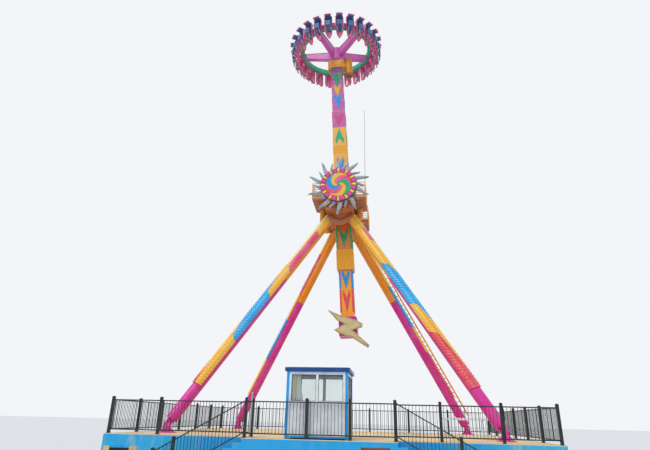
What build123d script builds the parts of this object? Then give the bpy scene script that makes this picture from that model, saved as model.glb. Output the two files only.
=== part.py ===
from build123d import *
import math
import os

# Pendulum ride: a raised platform, four splayed legs, two bearing heads, a swinging arm with a
# counterweight, and a ring of outward-facing seats that turns at the arm's upper end.
# Millimetres. X runs along the front, Y away from the front, Z up.
# The origin is on the ground, straight under the pivot of the arm.

# Platform
platform_height = 1700
deck_half_width = 8240
deck_front = 7175
deck_rear = 6200
floor_thickness = 20
landing_half_width = 2650
landing_depth = 990

# Stairs at both ends of the landing
stair_risers = 10
stair_tread = 315

# Fences
post_size = 100
post_height = 1280
post_inset = 75
side_post_inset = 140
rail_size = 40
top_rail_height = 1200
bottom_rail_height = 145
baluster_size = 16
baluster_pitch = 120
landing_post_places = (-430, 1060)
front_posts_left = (6170,)
front_posts_right = (4160, 6240)
rear_bay_length = 2180
side_bay_length = 2060
stair_newel_left = 5090
stair_newel_right = 4690

# Things that stand on the platform
entry_post_radius = 32
entry_post_height = 1500
barrier_side_gap = 2300
barrier_length = 1700
barrier_front_gap = 1075
barrier_height = 800
barrier_bar = 80
barrier_leg = 45
barrier_leg_inset = 220

# Recesses in the front faces
recess_depth = 60
vent_left = -8080
vent_width = 1040
vent_height = 620
vent_top_drop = 420
hatch_left = 1420
hatch_width = 960
hatch_height = 1150
hatch_top_drop = 190
recess_frame = 60

# Operator cabin
cabin_left = -1200
cabin_width = 2180
cabin_front_inset = 165
cabin_depth = 2100
cabin_height = 2240
cabin_foot_height = 40
cabin_floor_thickness = 60
cabin_post = 90
cabin_beam = 40
cabin_wall = 50
cabin_sill_height = 1140
cabin_window_frame = 85
cabin_glass = 8
cabin_roof_thickness = 115
cabin_roof_overhang = 65
cabin_door_width = 800

# Legs and their feet
foot_x = 6710
foot_y = 5085
pin_height = 320
leg_top_x = 203
leg_top_y = 1030
leg_top_height = 11495
leg_radius = 245
leg_pin_gap = 230
lug_thickness = 90
lug_radius = 130
ear_thickness = 40
ear_gap = 1
ear_radius = 140
pin_radius = 50
pin_overhang = 30
pin_clearance = 0.3
base_plate_size = 640
base_plate_thickness = 30

# Bearing heads
pivot_height = 12200
head_half_width = 720
head_near = 620
head_far = 2300
head_top = 750
head_bottom_side = 1150
head_bottom_middle = 1350
head_corner = 160
axle_radius = 250
axle_clearance = 0.5
axle_reach = 1900

# Sun medallion on the front head
disc_radius = 965
disc_thickness = 110
ray_plate_thickness = 40
ray_plate_radius = 1000
ray_count = 20
long_ray_tip = 1680
short_ray_tip = 1380
long_ray_half_width = 150
short_ray_half_width = 110
ray_sway = 90
spacer_radius = 520
medallion_front = 2700

# Service floors beside the heads
service_floor_level = 11560
service_floor_thickness = 60
service_floor_outer = 1420
service_floor_far = 2530
railing_height = 820
railing_post = 22
railing_bar = 17
railing_post_cap = 30
panel_gap = 0.5
railing_slat_gap = 110
railing_slat_thickness = 14

# Ladder on the rear right leg
ladder_start = 560
ladder_head_gap = 390
ladder_standoff = 120
ladder_half_width = 240
ladder_rail = 40
ladder_rung = 18
ladder_rung_pitch = 300
ladder_bracket_count = 5

# Swing drives under the service floors, the cable loop and the lightning rod
drive_radius = 155
drive_length = 640
drive_x = 1020
drive_y = 900
cable_radius = 22
cable_bend = 160
cable_bottom_edge = 210
cable_head_edge = 500
rod_radius = 16
rod_top = 16850

# Swinging arm, along its own axis from the pivot
arm_tilt = -2.8
hub_half_width = 450
hub_half_depth = 420
hub_half_length = 800
upper_arm_step = 6150
upper_arm_low_width = 840
upper_arm_mid_width = 790
upper_arm_high_width = 740
upper_arm_top_width = 690
lower_arm_width = 840
collar_start = 2850
collar_end = 4000
collar_width = 890
lower_arm_end_width = 700
flange_start = 6560
flange_thickness = 40
flange_width = 860
bolt_thickness = 1200
bolt_plate = 110
bolt_body_half_width = 470
bolt_body_bottom = 7540

# Gondola bearing housing and spin motor at the upper end of the arm
housing_start = 9600
housing_end = 10200
housing_width = 1110
housing_depth = 800
housing_corner = 290
motor_housing_gap = 10
motor_radius = 227
motor_bracket_half_width = 150
motor_start = 9050
motor_end = 10330

# Gondola
ring_level = 11200
spin_offset = 10.1
bearing_gap = 6
spindle_radius = 180
spindle_length = 400
gondola_hub_radius = 470
gondola_hub_top = 11150
gondola_cap_radius = 330
gondola_cap_tip_radius = 60
gondola_cap_height = 320
spoke_count = 5
spoke_width = 280
spoke_root_drop = 280
spoke_root_height = 500
spoke_tip_height = 320
ring_inner_radius = 2100
ring_outer_radius = 2380
ring_height = 300
seat_clearance = 0.3
seats_per_spoke = 5
seat_back_radius = 2420
seat_back_thickness = 50
seat_head_reach = 1080
seat_pan_reach = 300
seat_pan_thickness = 60
seat_pan_length = 560
seat_shoulder_width = 500
seat_head_width = 300
seat_taper_start = 420
seat_side_depth = 300
seat_side_thickness = 25
seat_side_top = 620
pad_thickness = 60
pad_margin = 45
seat_bracket_width = 160
seat_bracket_height = 200
harness_root = 760
harness_width = 390
harness_reach = 440
harness_arm_size = 60
harness_pad_thickness = 90
harness_chest_top = 500
harness_pad_bottom = 60

# Flame shape of a sun ray: share of its length, share of the sway, share of the root's width
ray_shape = [
    (0.0, 0.0, 1.0),
    (0.33, 0.9, 0.78),
    (0.67, 0.0, 0.58),
    (1.0, -0.6, 0.14),
]

# Lightning bolt outline in the arm's plane: across the arm, then down from the pivot
bolt_outline = [
    (-1020, -6180),
    (-320, -6520),
    (430, -6790),
    (770, -6980),
    (740, -7170),
    (240, -7300),
    (1060, -8080),
    (980, -8220),
    (180, -7660),
    (-430, -7450),
    (-710, -7240),
    (-170, -6970),
    (-550, -6750),
]

deck_level = platform_height
pivot_z = deck_level + pivot_height
seat_count = spoke_count * seats_per_spoke


def box_between(low, high):
    """A box from its lowest corner to its highest corner."""
    size = [b - a for a, b in zip(low, high)]
    centre = [(a + b) / 2 for a, b in zip(low, high)]
    return Pos(*centre) * Box(*size)


def rod_between(start, end, radius):
    """A round bar between two points."""
    start = Vector(*start)
    end = Vector(*end)
    along = end - start
    plane = Plane(origin=start, z_dir=along)
    return extrude(plane * Circle(radius), along.length)


def arm_place(solid):
    """Carry a solid from the arm's own frame, with its axis along Z, to the ride."""
    return Pos(0, 0, pivot_z) * Rot(0, arm_tilt, 0) * solid


def gondola_place(solid):
    """Carry a solid from the gondola's own frame, at the ring's centre, to the ride."""
    return arm_place(Pos(0, 0, ring_level) * Rot(0, 0, spin_offset) * solid)


def both_sides(solid):
    """A solid and its mirror image on the other side of the arm's plane x = 0."""
    return [solid, mirror(solid, Plane.YZ)]


def front_and_rear(solids):
    """Solids at the front and their mirror images at the rear."""
    return list(solids) + [mirror(solid, Plane.XZ) for solid in solids]


def spread(start, end, pitch):
    """Places at an even pitch between two places, both ends left out."""
    count = max(1, round(abs(end - start) / pitch))
    return [start + (end - start) * index / count for index in range(1, count)]


# Platform and stairs

landing_front = deck_front + landing_depth
floor_bottom = deck_level - floor_thickness


def recess(left, width, height, top_drop, face):
    """The space cut into a front face for a framed opening."""
    top = deck_level - top_drop
    return box_between((left, -face, top - height), (left + width, -face + recess_depth, top))


def recess_ring(left, width, height, top_drop, face):
    """The frame that lines a recess."""
    outer = recess(left, width, height, top_drop, face)
    inner = recess(
        left + recess_frame,
        width - 2 * recess_frame,
        height - 2 * recess_frame,
        top_drop + recess_frame,
        face,
    )
    return outer - inner


def make_platform():
    vent = (vent_left, vent_width, vent_height, vent_top_drop, deck_front)
    hatch = (hatch_left, hatch_width, hatch_height, hatch_top_drop, landing_front)
    outline = make_face(
        Polyline(
            (-deck_half_width, deck_rear),
            (-deck_half_width, -deck_front),
            (-landing_half_width, -deck_front),
            (-landing_half_width, -landing_front),
            (landing_half_width, -landing_front),
            (landing_half_width, -deck_front),
            (deck_half_width, -deck_front),
            (deck_half_width, deck_rear),
            close=True,
        )
    )
    plinth = extrude(outline, floor_bottom)
    deck = Pos(0, 0, floor_bottom) * extrude(outline, floor_thickness)
    hatch_inside = recess(
        hatch_left + recess_frame,
        hatch_width - 2 * recess_frame,
        hatch_height - 2 * recess_frame,
        hatch_top_drop + recess_frame,
        landing_front,
    )
    panel_room = Pos(0, recess_depth / 2, 0) * hatch_inside
    return {
        "plinth": plinth - recess(*vent) - recess(*hatch),
        "deck_floor": deck,
        "recess_frames": Compound(children=[recess_ring(*vent), recess_ring(*hatch)]),
        "hatch_panel": hatch_inside & panel_room,
    }


riser = deck_level / stair_risers
stair_run = (stair_risers - 1) * stair_tread


def make_stair():
    """The right-hand flight, as one stepped mass that goes down from the landing."""
    start = landing_half_width
    points = [(start, 0), (start, deck_level - riser)]
    for step in range(1, stair_risers):
        edge = start + step * stair_tread
        points.append((edge, deck_level - step * riser))
        if step < stair_risers - 1:
            points.append((edge, deck_level - (step + 1) * riser))
    points.append((start + stair_run, 0))
    profile = Plane.XZ * make_face(Polyline(*points, close=True))
    return Pos(0, -deck_front, 0) * extrude(profile, landing_depth)


def level_rail(start, end, height, drop, row):
    """A square rail along X whose far end lies lower by drop, with upright end faces."""
    half = rail_size / 2
    points = [
        (start, height - half),
        (end, height - half - drop),
        (end, height + half - drop),
        (start, height + half),
    ]
    profile = Plane.XZ * make_face(Polyline(*points, close=True))
    return Pos(0, row + half, 0) * extrude(profile, rail_size)


def fence_run(start, end, posts, row, drop=0.0, floor=deck_level, feet=None):
    """A fence along X from start to end, falling by drop, with a foot height for each post."""
    slope = drop / (end - start)
    half_post = post_size / 2
    half_baluster = baluster_size / 2
    top_middle = floor + top_rail_height - rail_size / 2
    bottom_middle = floor + bottom_rail_height
    pieces = [
        level_rail(start, end, top_middle, drop, row),
        level_rail(start, end, bottom_middle, drop, row),
    ]
    for index, x in enumerate(posts):
        line = floor - slope * (x - start)
        foot = feet[index] if feet else line
        pieces.append(
            box_between((x - half_post, row - half_post, foot), (x + half_post, row + half_post, line + post_height))
        )
    for x in spread(start, end, baluster_pitch):
        fall = slope * (x - start)
        pieces.append(
            box_between(
                (x - half_baluster, row - half_baluster, bottom_middle - fall),
                (x + half_baluster, row + half_baluster, top_middle - fall),
            )
        )
    return pieces[0].fuse(*pieces[1:])


def make_stair_rail(newel):
    """The right-hand stair rail, from the landing's corner post down to a post on the ground."""
    row = -landing_front + post_inset
    start = landing_half_width - post_inset + post_size / 2
    slope = riser / stair_tread
    end = landing_half_width + stair_risers * stair_tread
    first_line = deck_level + slope * (landing_half_width - start)
    tread_index = math.ceil((newel - landing_half_width) / stair_tread)
    feet = [deck_level - tread_index * riser, 0]
    return fence_run(start, end, [newel, end], row, drop=slope * (end - start), floor=first_line, feet=feet)


def make_fences():
    half_post = post_size / 2
    side_row = deck_half_width - side_post_inset
    front_row = -deck_front + post_inset
    landing_row = -landing_front + post_inset
    rear_row = deck_rear - post_inset
    gate_post = landing_half_width - half_post

    front_right = fence_run(gate_post, side_row, [gate_post, *front_posts_right, side_row], front_row)
    front_left = fence_run(gate_post, side_row, [gate_post, *front_posts_left, side_row], front_row)
    side_posts = spread(front_row, rear_row, side_bay_length) + [rear_row]
    side_right = Rot(0, 0, 90) * fence_run(front_row + half_post, rear_row, side_posts, -side_row)
    rear_posts = spread(-side_row, side_row, rear_bay_length)
    rear = fence_run(-side_row + half_post, side_row - half_post, rear_posts, rear_row)
    landing_end = landing_half_width - post_inset
    landing_posts = [-landing_end, landing_end] + list(landing_post_places)
    landing = fence_run(-landing_end, landing_end, landing_posts, landing_row)
    rail_right = make_stair_rail(stair_newel_right)
    rail_left = mirror(make_stair_rail(stair_newel_left), Plane.YZ)
    return {
        "front_fences": Compound(children=[front_right, mirror(front_left, Plane.YZ)]),
        "side_fences": Compound(children=both_sides(side_right)),
        "rear_fence": rear,
        "landing_fence": landing,
        "stair_rails": Compound(children=[rail_right, rail_left]),
    }


def make_deck_fittings():
    post_x = -landing_half_width + entry_post_radius
    post_y = -deck_front - post_inset
    entry_post = rod_between(
        (post_x, post_y, deck_level), (post_x, post_y, deck_level + entry_post_height), entry_post_radius
    )
    half_bar = barrier_bar / 2
    half_leg = barrier_leg / 2
    bar_top = deck_level + barrier_height
    barrier_row = barrier_front_gap - deck_front
    barrier_end = deck_half_width - barrier_side_gap
    barrier_start = barrier_end - barrier_length
    bar = box_between(
        (barrier_start, barrier_row - half_bar, bar_top - barrier_bar),
        (barrier_end, barrier_row + half_bar, bar_top),
    )
    legs = []
    for x in (barrier_start + barrier_leg_inset, barrier_end - barrier_leg_inset):
        legs.append(
            box_between(
                (x - half_leg, barrier_row - half_leg, deck_level),
                (x + half_leg, barrier_row + half_leg, bar_top - half_bar),
            )
        )
    return {"entry_post": entry_post, "white_barrier": bar.fuse(*legs)}


# Operator cabin

cabin_front = -landing_front + cabin_front_inset
cabin_rear = cabin_front + cabin_depth
cabin_right = cabin_left + cabin_width
cabin_base = deck_level + cabin_foot_height
cabin_floor_top = cabin_base + cabin_floor_thickness
cabin_wall_top = deck_level + cabin_height


def cabin_wall_boxes(low_z, high_z, thickness):
    """The front, rear and right bays between the posts, and the left bay beside the door."""
    x_low = cabin_left + cabin_post
    x_high = cabin_right - cabin_post
    y_low = cabin_front + cabin_post
    y_high = cabin_rear - cabin_post
    inset = (cabin_post - thickness) / 2
    front = box_between(
        (x_low, cabin_front + inset, low_z), (x_high, cabin_front + inset + thickness, high_z)
    )
    rear = box_between(
        (x_low, cabin_rear - inset - thickness, low_z), (x_high, cabin_rear - inset, high_z)
    )
    right = box_between(
        (cabin_right - inset - thickness, y_low, low_z), (cabin_right - inset, y_high, high_z)
    )
    left = box_between(
        (cabin_left + inset, y_low, low_z),
        (cabin_left + inset + thickness, y_high - cabin_door_width, high_z),
    )
    return [front, rear, right, left]


def window_frame(wall, mullion_along):
    """A window frame cut from a flat wall box, with one mullion in the middle."""
    box = wall.bounding_box()
    low = box.min
    high = box.max
    middle = (low + high) * 0.5
    edge = cabin_window_frame
    frame = wall
    if mullion_along == "x":
        panes = [(low.X + edge, middle.X - edge / 2), (middle.X + edge / 2, high.X - edge)]
        for start, end in panes:
            frame -= box_between((start, low.Y, low.Z + edge), (end, high.Y, high.Z - edge))
        return frame
    panes = [(low.Y + edge, middle.Y - edge / 2), (middle.Y + edge / 2, high.Y - edge)]
    for start, end in panes:
        frame -= box_between((low.X, start, low.Z + edge), (high.X, end, high.Z - edge))
    return frame


def make_cabin():
    sill = deck_level + cabin_sill_height
    head = cabin_wall_top - cabin_beam
    posts = []
    for x in (cabin_left, cabin_right - cabin_post):
        for y in (cabin_front, cabin_rear - cabin_post):
            posts.append(
                box_between((x, y, cabin_floor_top), (x + cabin_post, y + cabin_post, cabin_wall_top))
            )
    ring = box_between((cabin_left, cabin_front, head), (cabin_right, cabin_rear, cabin_wall_top))
    ring -= box_between(
        (cabin_left + cabin_post, cabin_front + cabin_post, head),
        (cabin_right - cabin_post, cabin_rear - cabin_post, cabin_wall_top),
    )
    frame = ring.fuse(*posts)

    base = box_between((cabin_left, cabin_front, cabin_base), (cabin_right, cabin_rear, cabin_floor_top))
    feet = []
    for x in (cabin_left, cabin_right - cabin_post):
        for y in (cabin_front, cabin_rear - cabin_post):
            feet.append(box_between((x, y, deck_level), (x + cabin_post, y + cabin_post, cabin_base)))
    base = base.fuse(*feet)

    panels = cabin_wall_boxes(cabin_floor_top, sill, cabin_wall)
    frames = []
    for wall, direction in zip(cabin_wall_boxes(sill, head, cabin_wall), ("x", "x", "y", "y")):
        frames.append(window_frame(wall, direction))
    glass = []
    for pane, frame_box in zip(cabin_wall_boxes(sill, head, cabin_glass), frames):
        glass.append(pane - frame_box)

    door_x = cabin_left + (cabin_post - cabin_wall) / 2
    door_end = cabin_rear - cabin_post
    door = box_between(
        (door_x, door_end - cabin_door_width, cabin_floor_top), (door_x + cabin_wall, door_end, head)
    )
    roof = box_between(
        (cabin_left - cabin_roof_overhang, cabin_front - cabin_roof_overhang, cabin_wall_top),
        (
            cabin_right + cabin_roof_overhang,
            cabin_rear + cabin_roof_overhang,
            cabin_wall_top + cabin_roof_thickness,
        ),
    )
    return {
        "cabin_base": base,
        "cabin_frame": frame,
        "cabin_panels": Compound(children=panels),
        "cabin_window_frames": Compound(children=frames),
        "cabin_glass": Compound(children=[piece for pane in glass for piece in pane.solids()]),
        "cabin_door": door,
        "cabin_roof": roof,
    }


# Legs and feet

pin_level = deck_level + pin_height


def leg_line():
    """The foot pin and the direction of the front right leg's axis."""
    pin = Vector(foot_x, -foot_y, pin_level)
    top = Vector(leg_top_x, -leg_top_y, deck_level + leg_top_height)
    return pin, (top - pin).normalized()


def make_leg(head):
    """The front right leg, cut where it meets the bearing head."""
    pin, along = leg_line()
    flat = Vector(along.X, along.Y, 0).normalized()
    across = Vector(-flat.Y, flat.X, 0)
    plane = Plane(origin=pin, x_dir=across, z_dir=along)
    reach = (pivot_height - pin_height) / along.Z
    start = plane.offset(leg_pin_gap)
    tube = extrude(start * Circle(leg_radius), reach - leg_pin_gap)
    top_half = box_between(
        (0, -deck_front, deck_level), (deck_half_width, 0, pivot_z - head_bottom_side + leg_radius)
    )
    tube = (tube & top_half) - head
    tube = max(tube.solids(), key=lambda solid: solid.volume)
    lug = extrude(plane * Rectangle(lug_thickness, 2 * lug_radius), leg_pin_gap)
    eye_plane = Plane(origin=pin - across * (lug_thickness / 2), z_dir=across)
    eye = extrude(eye_plane * Circle(lug_radius), lug_thickness)
    hole = extrude(eye_plane * Circle(pin_radius + pin_clearance), lug_thickness)
    return tube + (lug + eye - hole)


def make_foot():
    """The base plate, the two ears and the pin of the front right foot."""
    pin, along = leg_line()
    flat = Vector(along.X, along.Y, 0).normalized()
    across = Vector(-flat.Y, flat.X, 0)
    plate_top = deck_level + base_plate_thickness
    half_plate = base_plate_size / 2
    plate = box_between(
        (foot_x - half_plate, -foot_y - half_plate, deck_level),
        (foot_x + half_plate, -foot_y + half_plate, plate_top),
    )
    ears = []
    for side in (-1, 1):
        inner = side * (lug_thickness / 2 + ear_gap)
        outer = side * (lug_thickness / 2 + ear_gap + ear_thickness)
        origin = pin + across * min(inner, outer)
        plane = Plane(origin=origin, x_dir=flat, z_dir=across)
        drop = pin.Z - plate_top
        sketch = Circle(ear_radius)
        sketch += Pos(0, -drop / 2) * Rectangle(2 * ear_radius, drop)
        sketch += make_face(
            Polyline((-2 * ear_radius, -drop), (2 * ear_radius, -drop), (0, drop / 4), close=True)
        )
        sketch -= Circle(pin_radius + pin_clearance)
        if plane.y_dir.Z < 0:
            sketch = mirror(sketch, Plane.XZ)
        ears.append(extrude(plane * sketch, ear_thickness))
    half_pin = lug_thickness / 2 + ear_gap + ear_thickness + pin_overhang
    pin_bar = rod_between(
        tuple(pin - across * half_pin), tuple(pin + across * half_pin), pin_radius
    )
    return plate, ears, pin_bar


def all_corners(solid):
    """The front right, front left, rear right and rear left copies of a solid."""
    return front_and_rear(both_sides(solid))


def make_head():
    """The front bearing head, with a blind bore for the axle and a keel under it."""
    points = [
        (-head_half_width, -head_bottom_side),
        (0, -head_bottom_middle),
        (head_half_width, -head_bottom_side),
        (head_half_width, head_top - head_corner),
        (head_half_width - head_corner, head_top),
        (head_corner - head_half_width, head_top),
        (-head_half_width, head_top - head_corner),
    ]
    profile = Plane.XZ * make_face(Polyline(*points, close=True))
    body = Pos(0, -head_near, pivot_z) * extrude(profile, head_far - head_near)
    bore = rod_between(
        (0, -head_near, pivot_z), (0, -axle_reach - ear_gap, pivot_z), axle_radius + axle_clearance
    )
    return body - bore


def make_structure():
    head = make_head()
    leg = make_leg(head)
    plate, ears, pin_bar = make_foot()
    legs = all_corners(leg)
    names = ("leg_front_right", "leg_front_left", "leg_rear_right", "leg_rear_left")
    nodes = dict(zip(names, legs))
    nodes["foot_plates"] = Compound(children=all_corners(plate))
    ear_solids = []
    for ear in ears:
        ear_solids += all_corners(ear)
    nodes["foot_brackets"] = Compound(children=ear_solids)
    nodes["foot_pins"] = Compound(children=all_corners(pin_bar))
    nodes["head_front"] = head
    nodes["head_rear"] = mirror(head, Plane.XZ)
    return nodes


# Sun medallion

disc_back = medallion_front - disc_thickness
ray_plate_back = disc_back - ray_plate_thickness


def ray_sketch(tip, half_width):
    """A flame that starts inside the ray plate and sways on its way to the blunt tip."""
    root = disc_radius - half_width
    sides = []
    for side in (-1, 1):
        points = []
        for along, sway, width in ray_shape:
            points.append((side * half_width * width - ray_sway * sway, root + (tip - root) * along))
        sides.append(points)
    left, right = sides
    base = Line(left[0], right[0])
    blunt = Line(left[-1], right[-1])
    return make_face([Spline(*left), blunt, Spline(*right), base])


def make_medallion():
    facing = Plane(origin=(0, 0, pivot_z), x_dir=(1, 0, 0), z_dir=(0, -1, 0))
    disc = extrude(facing.offset(disc_back) * Circle(disc_radius), disc_thickness)
    sketch = Circle(ray_plate_radius)
    step = 360 / ray_count
    for index in range(ray_count):
        is_long = index % 2 == 0
        tip = long_ray_tip if is_long else short_ray_tip
        half_width = long_ray_half_width if is_long else short_ray_half_width
        sketch += Rot(0, 0, 180 - index * step) * ray_sketch(tip, half_width)
    rays = extrude(facing.offset(ray_plate_back) * sketch, ray_plate_thickness)
    spacer = extrude(facing.offset(head_far) * Circle(spacer_radius), ray_plate_back - head_far)
    return {"medallion_disc": disc, "medallion_rays": rays + spacer}


# Service floors, ladder, drives and rod

def railing_panel(start, end, posts, floor_z, top, end_gap):
    """One flat side of a railing between two plan points, with slats and the first posts on its line."""
    start = Vector(start[0], start[1], 0)
    end = Vector(end[0], end[1], 0)
    length = (end - start).length
    flat = (end - start).normalized()
    stop = length - end_gap
    pieces = []
    for index in range(posts):
        foot = start + flat * (length * index / max(1, posts - 1))
        pieces.append(
            rod_between((foot.X, foot.Y, floor_z), (foot.X, foot.Y, top + railing_post_cap), railing_post)
        )
    low = start + Vector(0, 0, top)
    high = start + flat * stop + Vector(0, 0, top)
    pieces.append(rod_between(tuple(low), tuple(high), railing_bar))
    half = railing_slat_thickness / 2
    across = Vector(flat.Y, -flat.X, 0) * half
    for height in spread(floor_z, top, railing_slat_gap):
        corner = start - across - Vector(0, 0, 2 * half)
        far = start + flat * stop + across + Vector(0, 0, 2 * half)
        lowest = [min(a, b) for a, b in zip(corner, far)]
        highest = [max(a, b) for a, b in zip(corner, far)]
        lowest[2] = height - 2 * half
        highest[2] = height + 2 * half
        pieces.append(box_between(lowest, highest))
    return pieces[0].fuse(*pieces[1:])


def make_service():
    floor_z = deck_level + service_floor_level
    floor = box_between(
        (head_half_width, -service_floor_far, floor_z - service_floor_thickness),
        (service_floor_outer, -head_near, floor_z),
    )
    inner = head_half_width + 2 * railing_post
    outer = service_floor_outer - railing_post
    near = -head_near - railing_post
    far = -service_floor_far + railing_post
    top = floor_z + railing_height
    post_top = top + railing_post_cap
    outer_side = railing_panel((outer, near), (outer, far), 3, floor_z, top, 0)
    near_side = railing_panel((inner, near), (outer, near), 1, floor_z, top, railing_post + panel_gap)
    far_side = railing_panel((inner, far), (outer, far), 1, floor_z, top, railing_post + panel_gap)
    panels = [outer_side, near_side, far_side]

    drive_top = floor_z - service_floor_thickness
    drive = rod_between(
        (drive_x, -drive_y, drive_top - drive_length), (drive_x, -drive_y, drive_top), drive_radius
    )
    loop_middle = (head_half_width, cable_head_edge - head_far, pivot_z - head_bottom_side + cable_bottom_edge)
    loop_plane = Plane(origin=loop_middle, x_dir=(1, 0, 0), z_dir=(0, -1, 0))
    path = loop_plane * CenterArc((0, 0), cable_bend, -90, 180)
    section = Plane(origin=path @ 0, z_dir=path % 0) * Circle(cable_radius)
    cable = sweep(section, path)
    rod = rod_between((outer, far, post_top), (outer, far, deck_level + rod_top), rod_radius)
    return {
        "service_floors": Compound(children=all_corners(floor)),
        "service_railings": Compound(children=[piece for panel in panels for piece in all_corners(panel)]),
        "swing_drives": Compound(children=all_corners(drive)),
        "drive_cable": cable,
        "lightning_rod": rod,
    }


def make_ladder():
    """The ladder on the outer side of the rear right leg."""
    pin, along = leg_line()
    pin = Vector(pin.X, -pin.Y, pin.Z)
    along = Vector(along.X, -along.Y, along.Z)
    flat = Vector(along.X, along.Y, 0).normalized()
    across = Vector(-flat.Y, flat.X, 0)
    outward = along.cross(across)
    if outward.Z < 0:
        outward = outward * -1
    line = pin + outward * (leg_radius + ladder_standoff)
    head_underside = pivot_z - head_bottom_side
    ladder_stop = (head_underside - ladder_head_gap - line.Z) / along.Z
    pieces = []
    for side in (-1, 1):
        offset = across * (side * ladder_half_width)
        start = line + along * ladder_start + offset
        end = line + along * ladder_stop + offset
        pieces.append(rod_between(tuple(start), tuple(end), ladder_rail))
    for distance in spread(ladder_start, ladder_stop, ladder_rung_pitch):
        middle = line + along * distance
        pieces.append(
            rod_between(
                tuple(middle - across * ladder_half_width),
                tuple(middle + across * ladder_half_width),
                ladder_rung,
            )
        )
    bracket_pitch = (ladder_stop - ladder_start) / (ladder_bracket_count + 1)
    for distance in spread(ladder_start, ladder_stop, bracket_pitch):
        for side in (-1, 1):
            top = line + along * distance + across * (side * ladder_half_width)
            foot = top - outward * (ladder_standoff + leg_radius)
            pieces.append(rod_between(tuple(foot), tuple(top), ladder_rung))
    ladder = pieces[0].fuse(*pieces[1:])
    leg_room = extrude(Plane(origin=pin, z_dir=along) * Circle(leg_radius + seat_clearance), ladder_stop)
    return {"ladder": ladder - leg_room}


# Swinging arm

def arm_section(low, high, low_width, high_width, low_depth=None, high_depth=None):
    """A four-sided length of the arm that may taper along the way."""
    low_face = Pos(0, 0, low) * Rectangle(low_width, low_depth or low_width)
    high_face = Pos(0, 0, high) * Rectangle(high_width, high_depth or high_width)
    return loft([low_face, high_face])


def make_pendulum():
    hub = box_between(
        (-hub_half_width, -hub_half_depth, -hub_half_length), (hub_half_width, hub_half_depth, hub_half_length)
    )
    axle = rod_between((0, -axle_reach, 0), (0, axle_reach, 0), axle_radius)
    lower_top = arm_section(-collar_start, -hub_half_length, lower_arm_width, lower_arm_width)
    collar = arm_section(-collar_end, -collar_start, collar_width, collar_width)
    lower_end = arm_section(-flange_start, -collar_end, lower_arm_end_width, lower_arm_end_width)
    flange = arm_section(-flange_start - flange_thickness, -flange_start, flange_width, flange_width)
    bolt_face = make_face(Polyline(*bolt_outline, close=True))
    body_front = bolt_thickness / 2 - bolt_plate
    bolt_body = box_between(
        (-bolt_body_half_width, -body_front, -bolt_body_bottom),
        (bolt_body_half_width, bolt_thickness / 2, -flange_start - flange_thickness),
    )
    bolt = bolt_body + extrude(Plane.XZ.offset(body_front) * bolt_face, bolt_plate)
    upper_low = arm_section(hub_half_length, upper_arm_step, upper_arm_low_width, upper_arm_mid_width)
    upper_high = arm_section(upper_arm_step, housing_start, upper_arm_high_width, upper_arm_top_width)
    block = RectangleRounded(housing_width, housing_depth, housing_corner)
    housing = extrude(Pos(0, 0, housing_start) * block, housing_end - housing_start)
    spindle = extrude(Pos(0, 0, housing_end) * Circle(spindle_radius), spindle_length)
    motor_offset = housing_width / 2 + motor_housing_gap + motor_radius
    motor = extrude(Pos(motor_offset, 0, motor_start) * Circle(motor_radius), motor_end - motor_start)
    bracket = box_between(
        (0, -motor_bracket_half_width, housing_start + motor_bracket_half_width),
        (motor_offset, motor_bracket_half_width, housing_end - motor_bracket_half_width),
    )
    nodes = {
        "arm_hub": hub + axle,
        "upper_arm": upper_low + upper_high,
        "lower_arm": lower_top + collar + lower_end,
        "counterweight_flange": flange,
        "counterweight": bolt,
        "bearing_housing": housing + spindle,
        "spin_motor": motor + (bracket - housing),
    }
    return {name: arm_place(solid) for name, solid in nodes.items()}


# Gondola

def around(solid, count, start=0.0):
    """Copies of a solid at even angles round the gondola's axis."""
    return [Rot(0, 0, start + index * 360 / count) * solid for index in range(count)]


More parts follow.
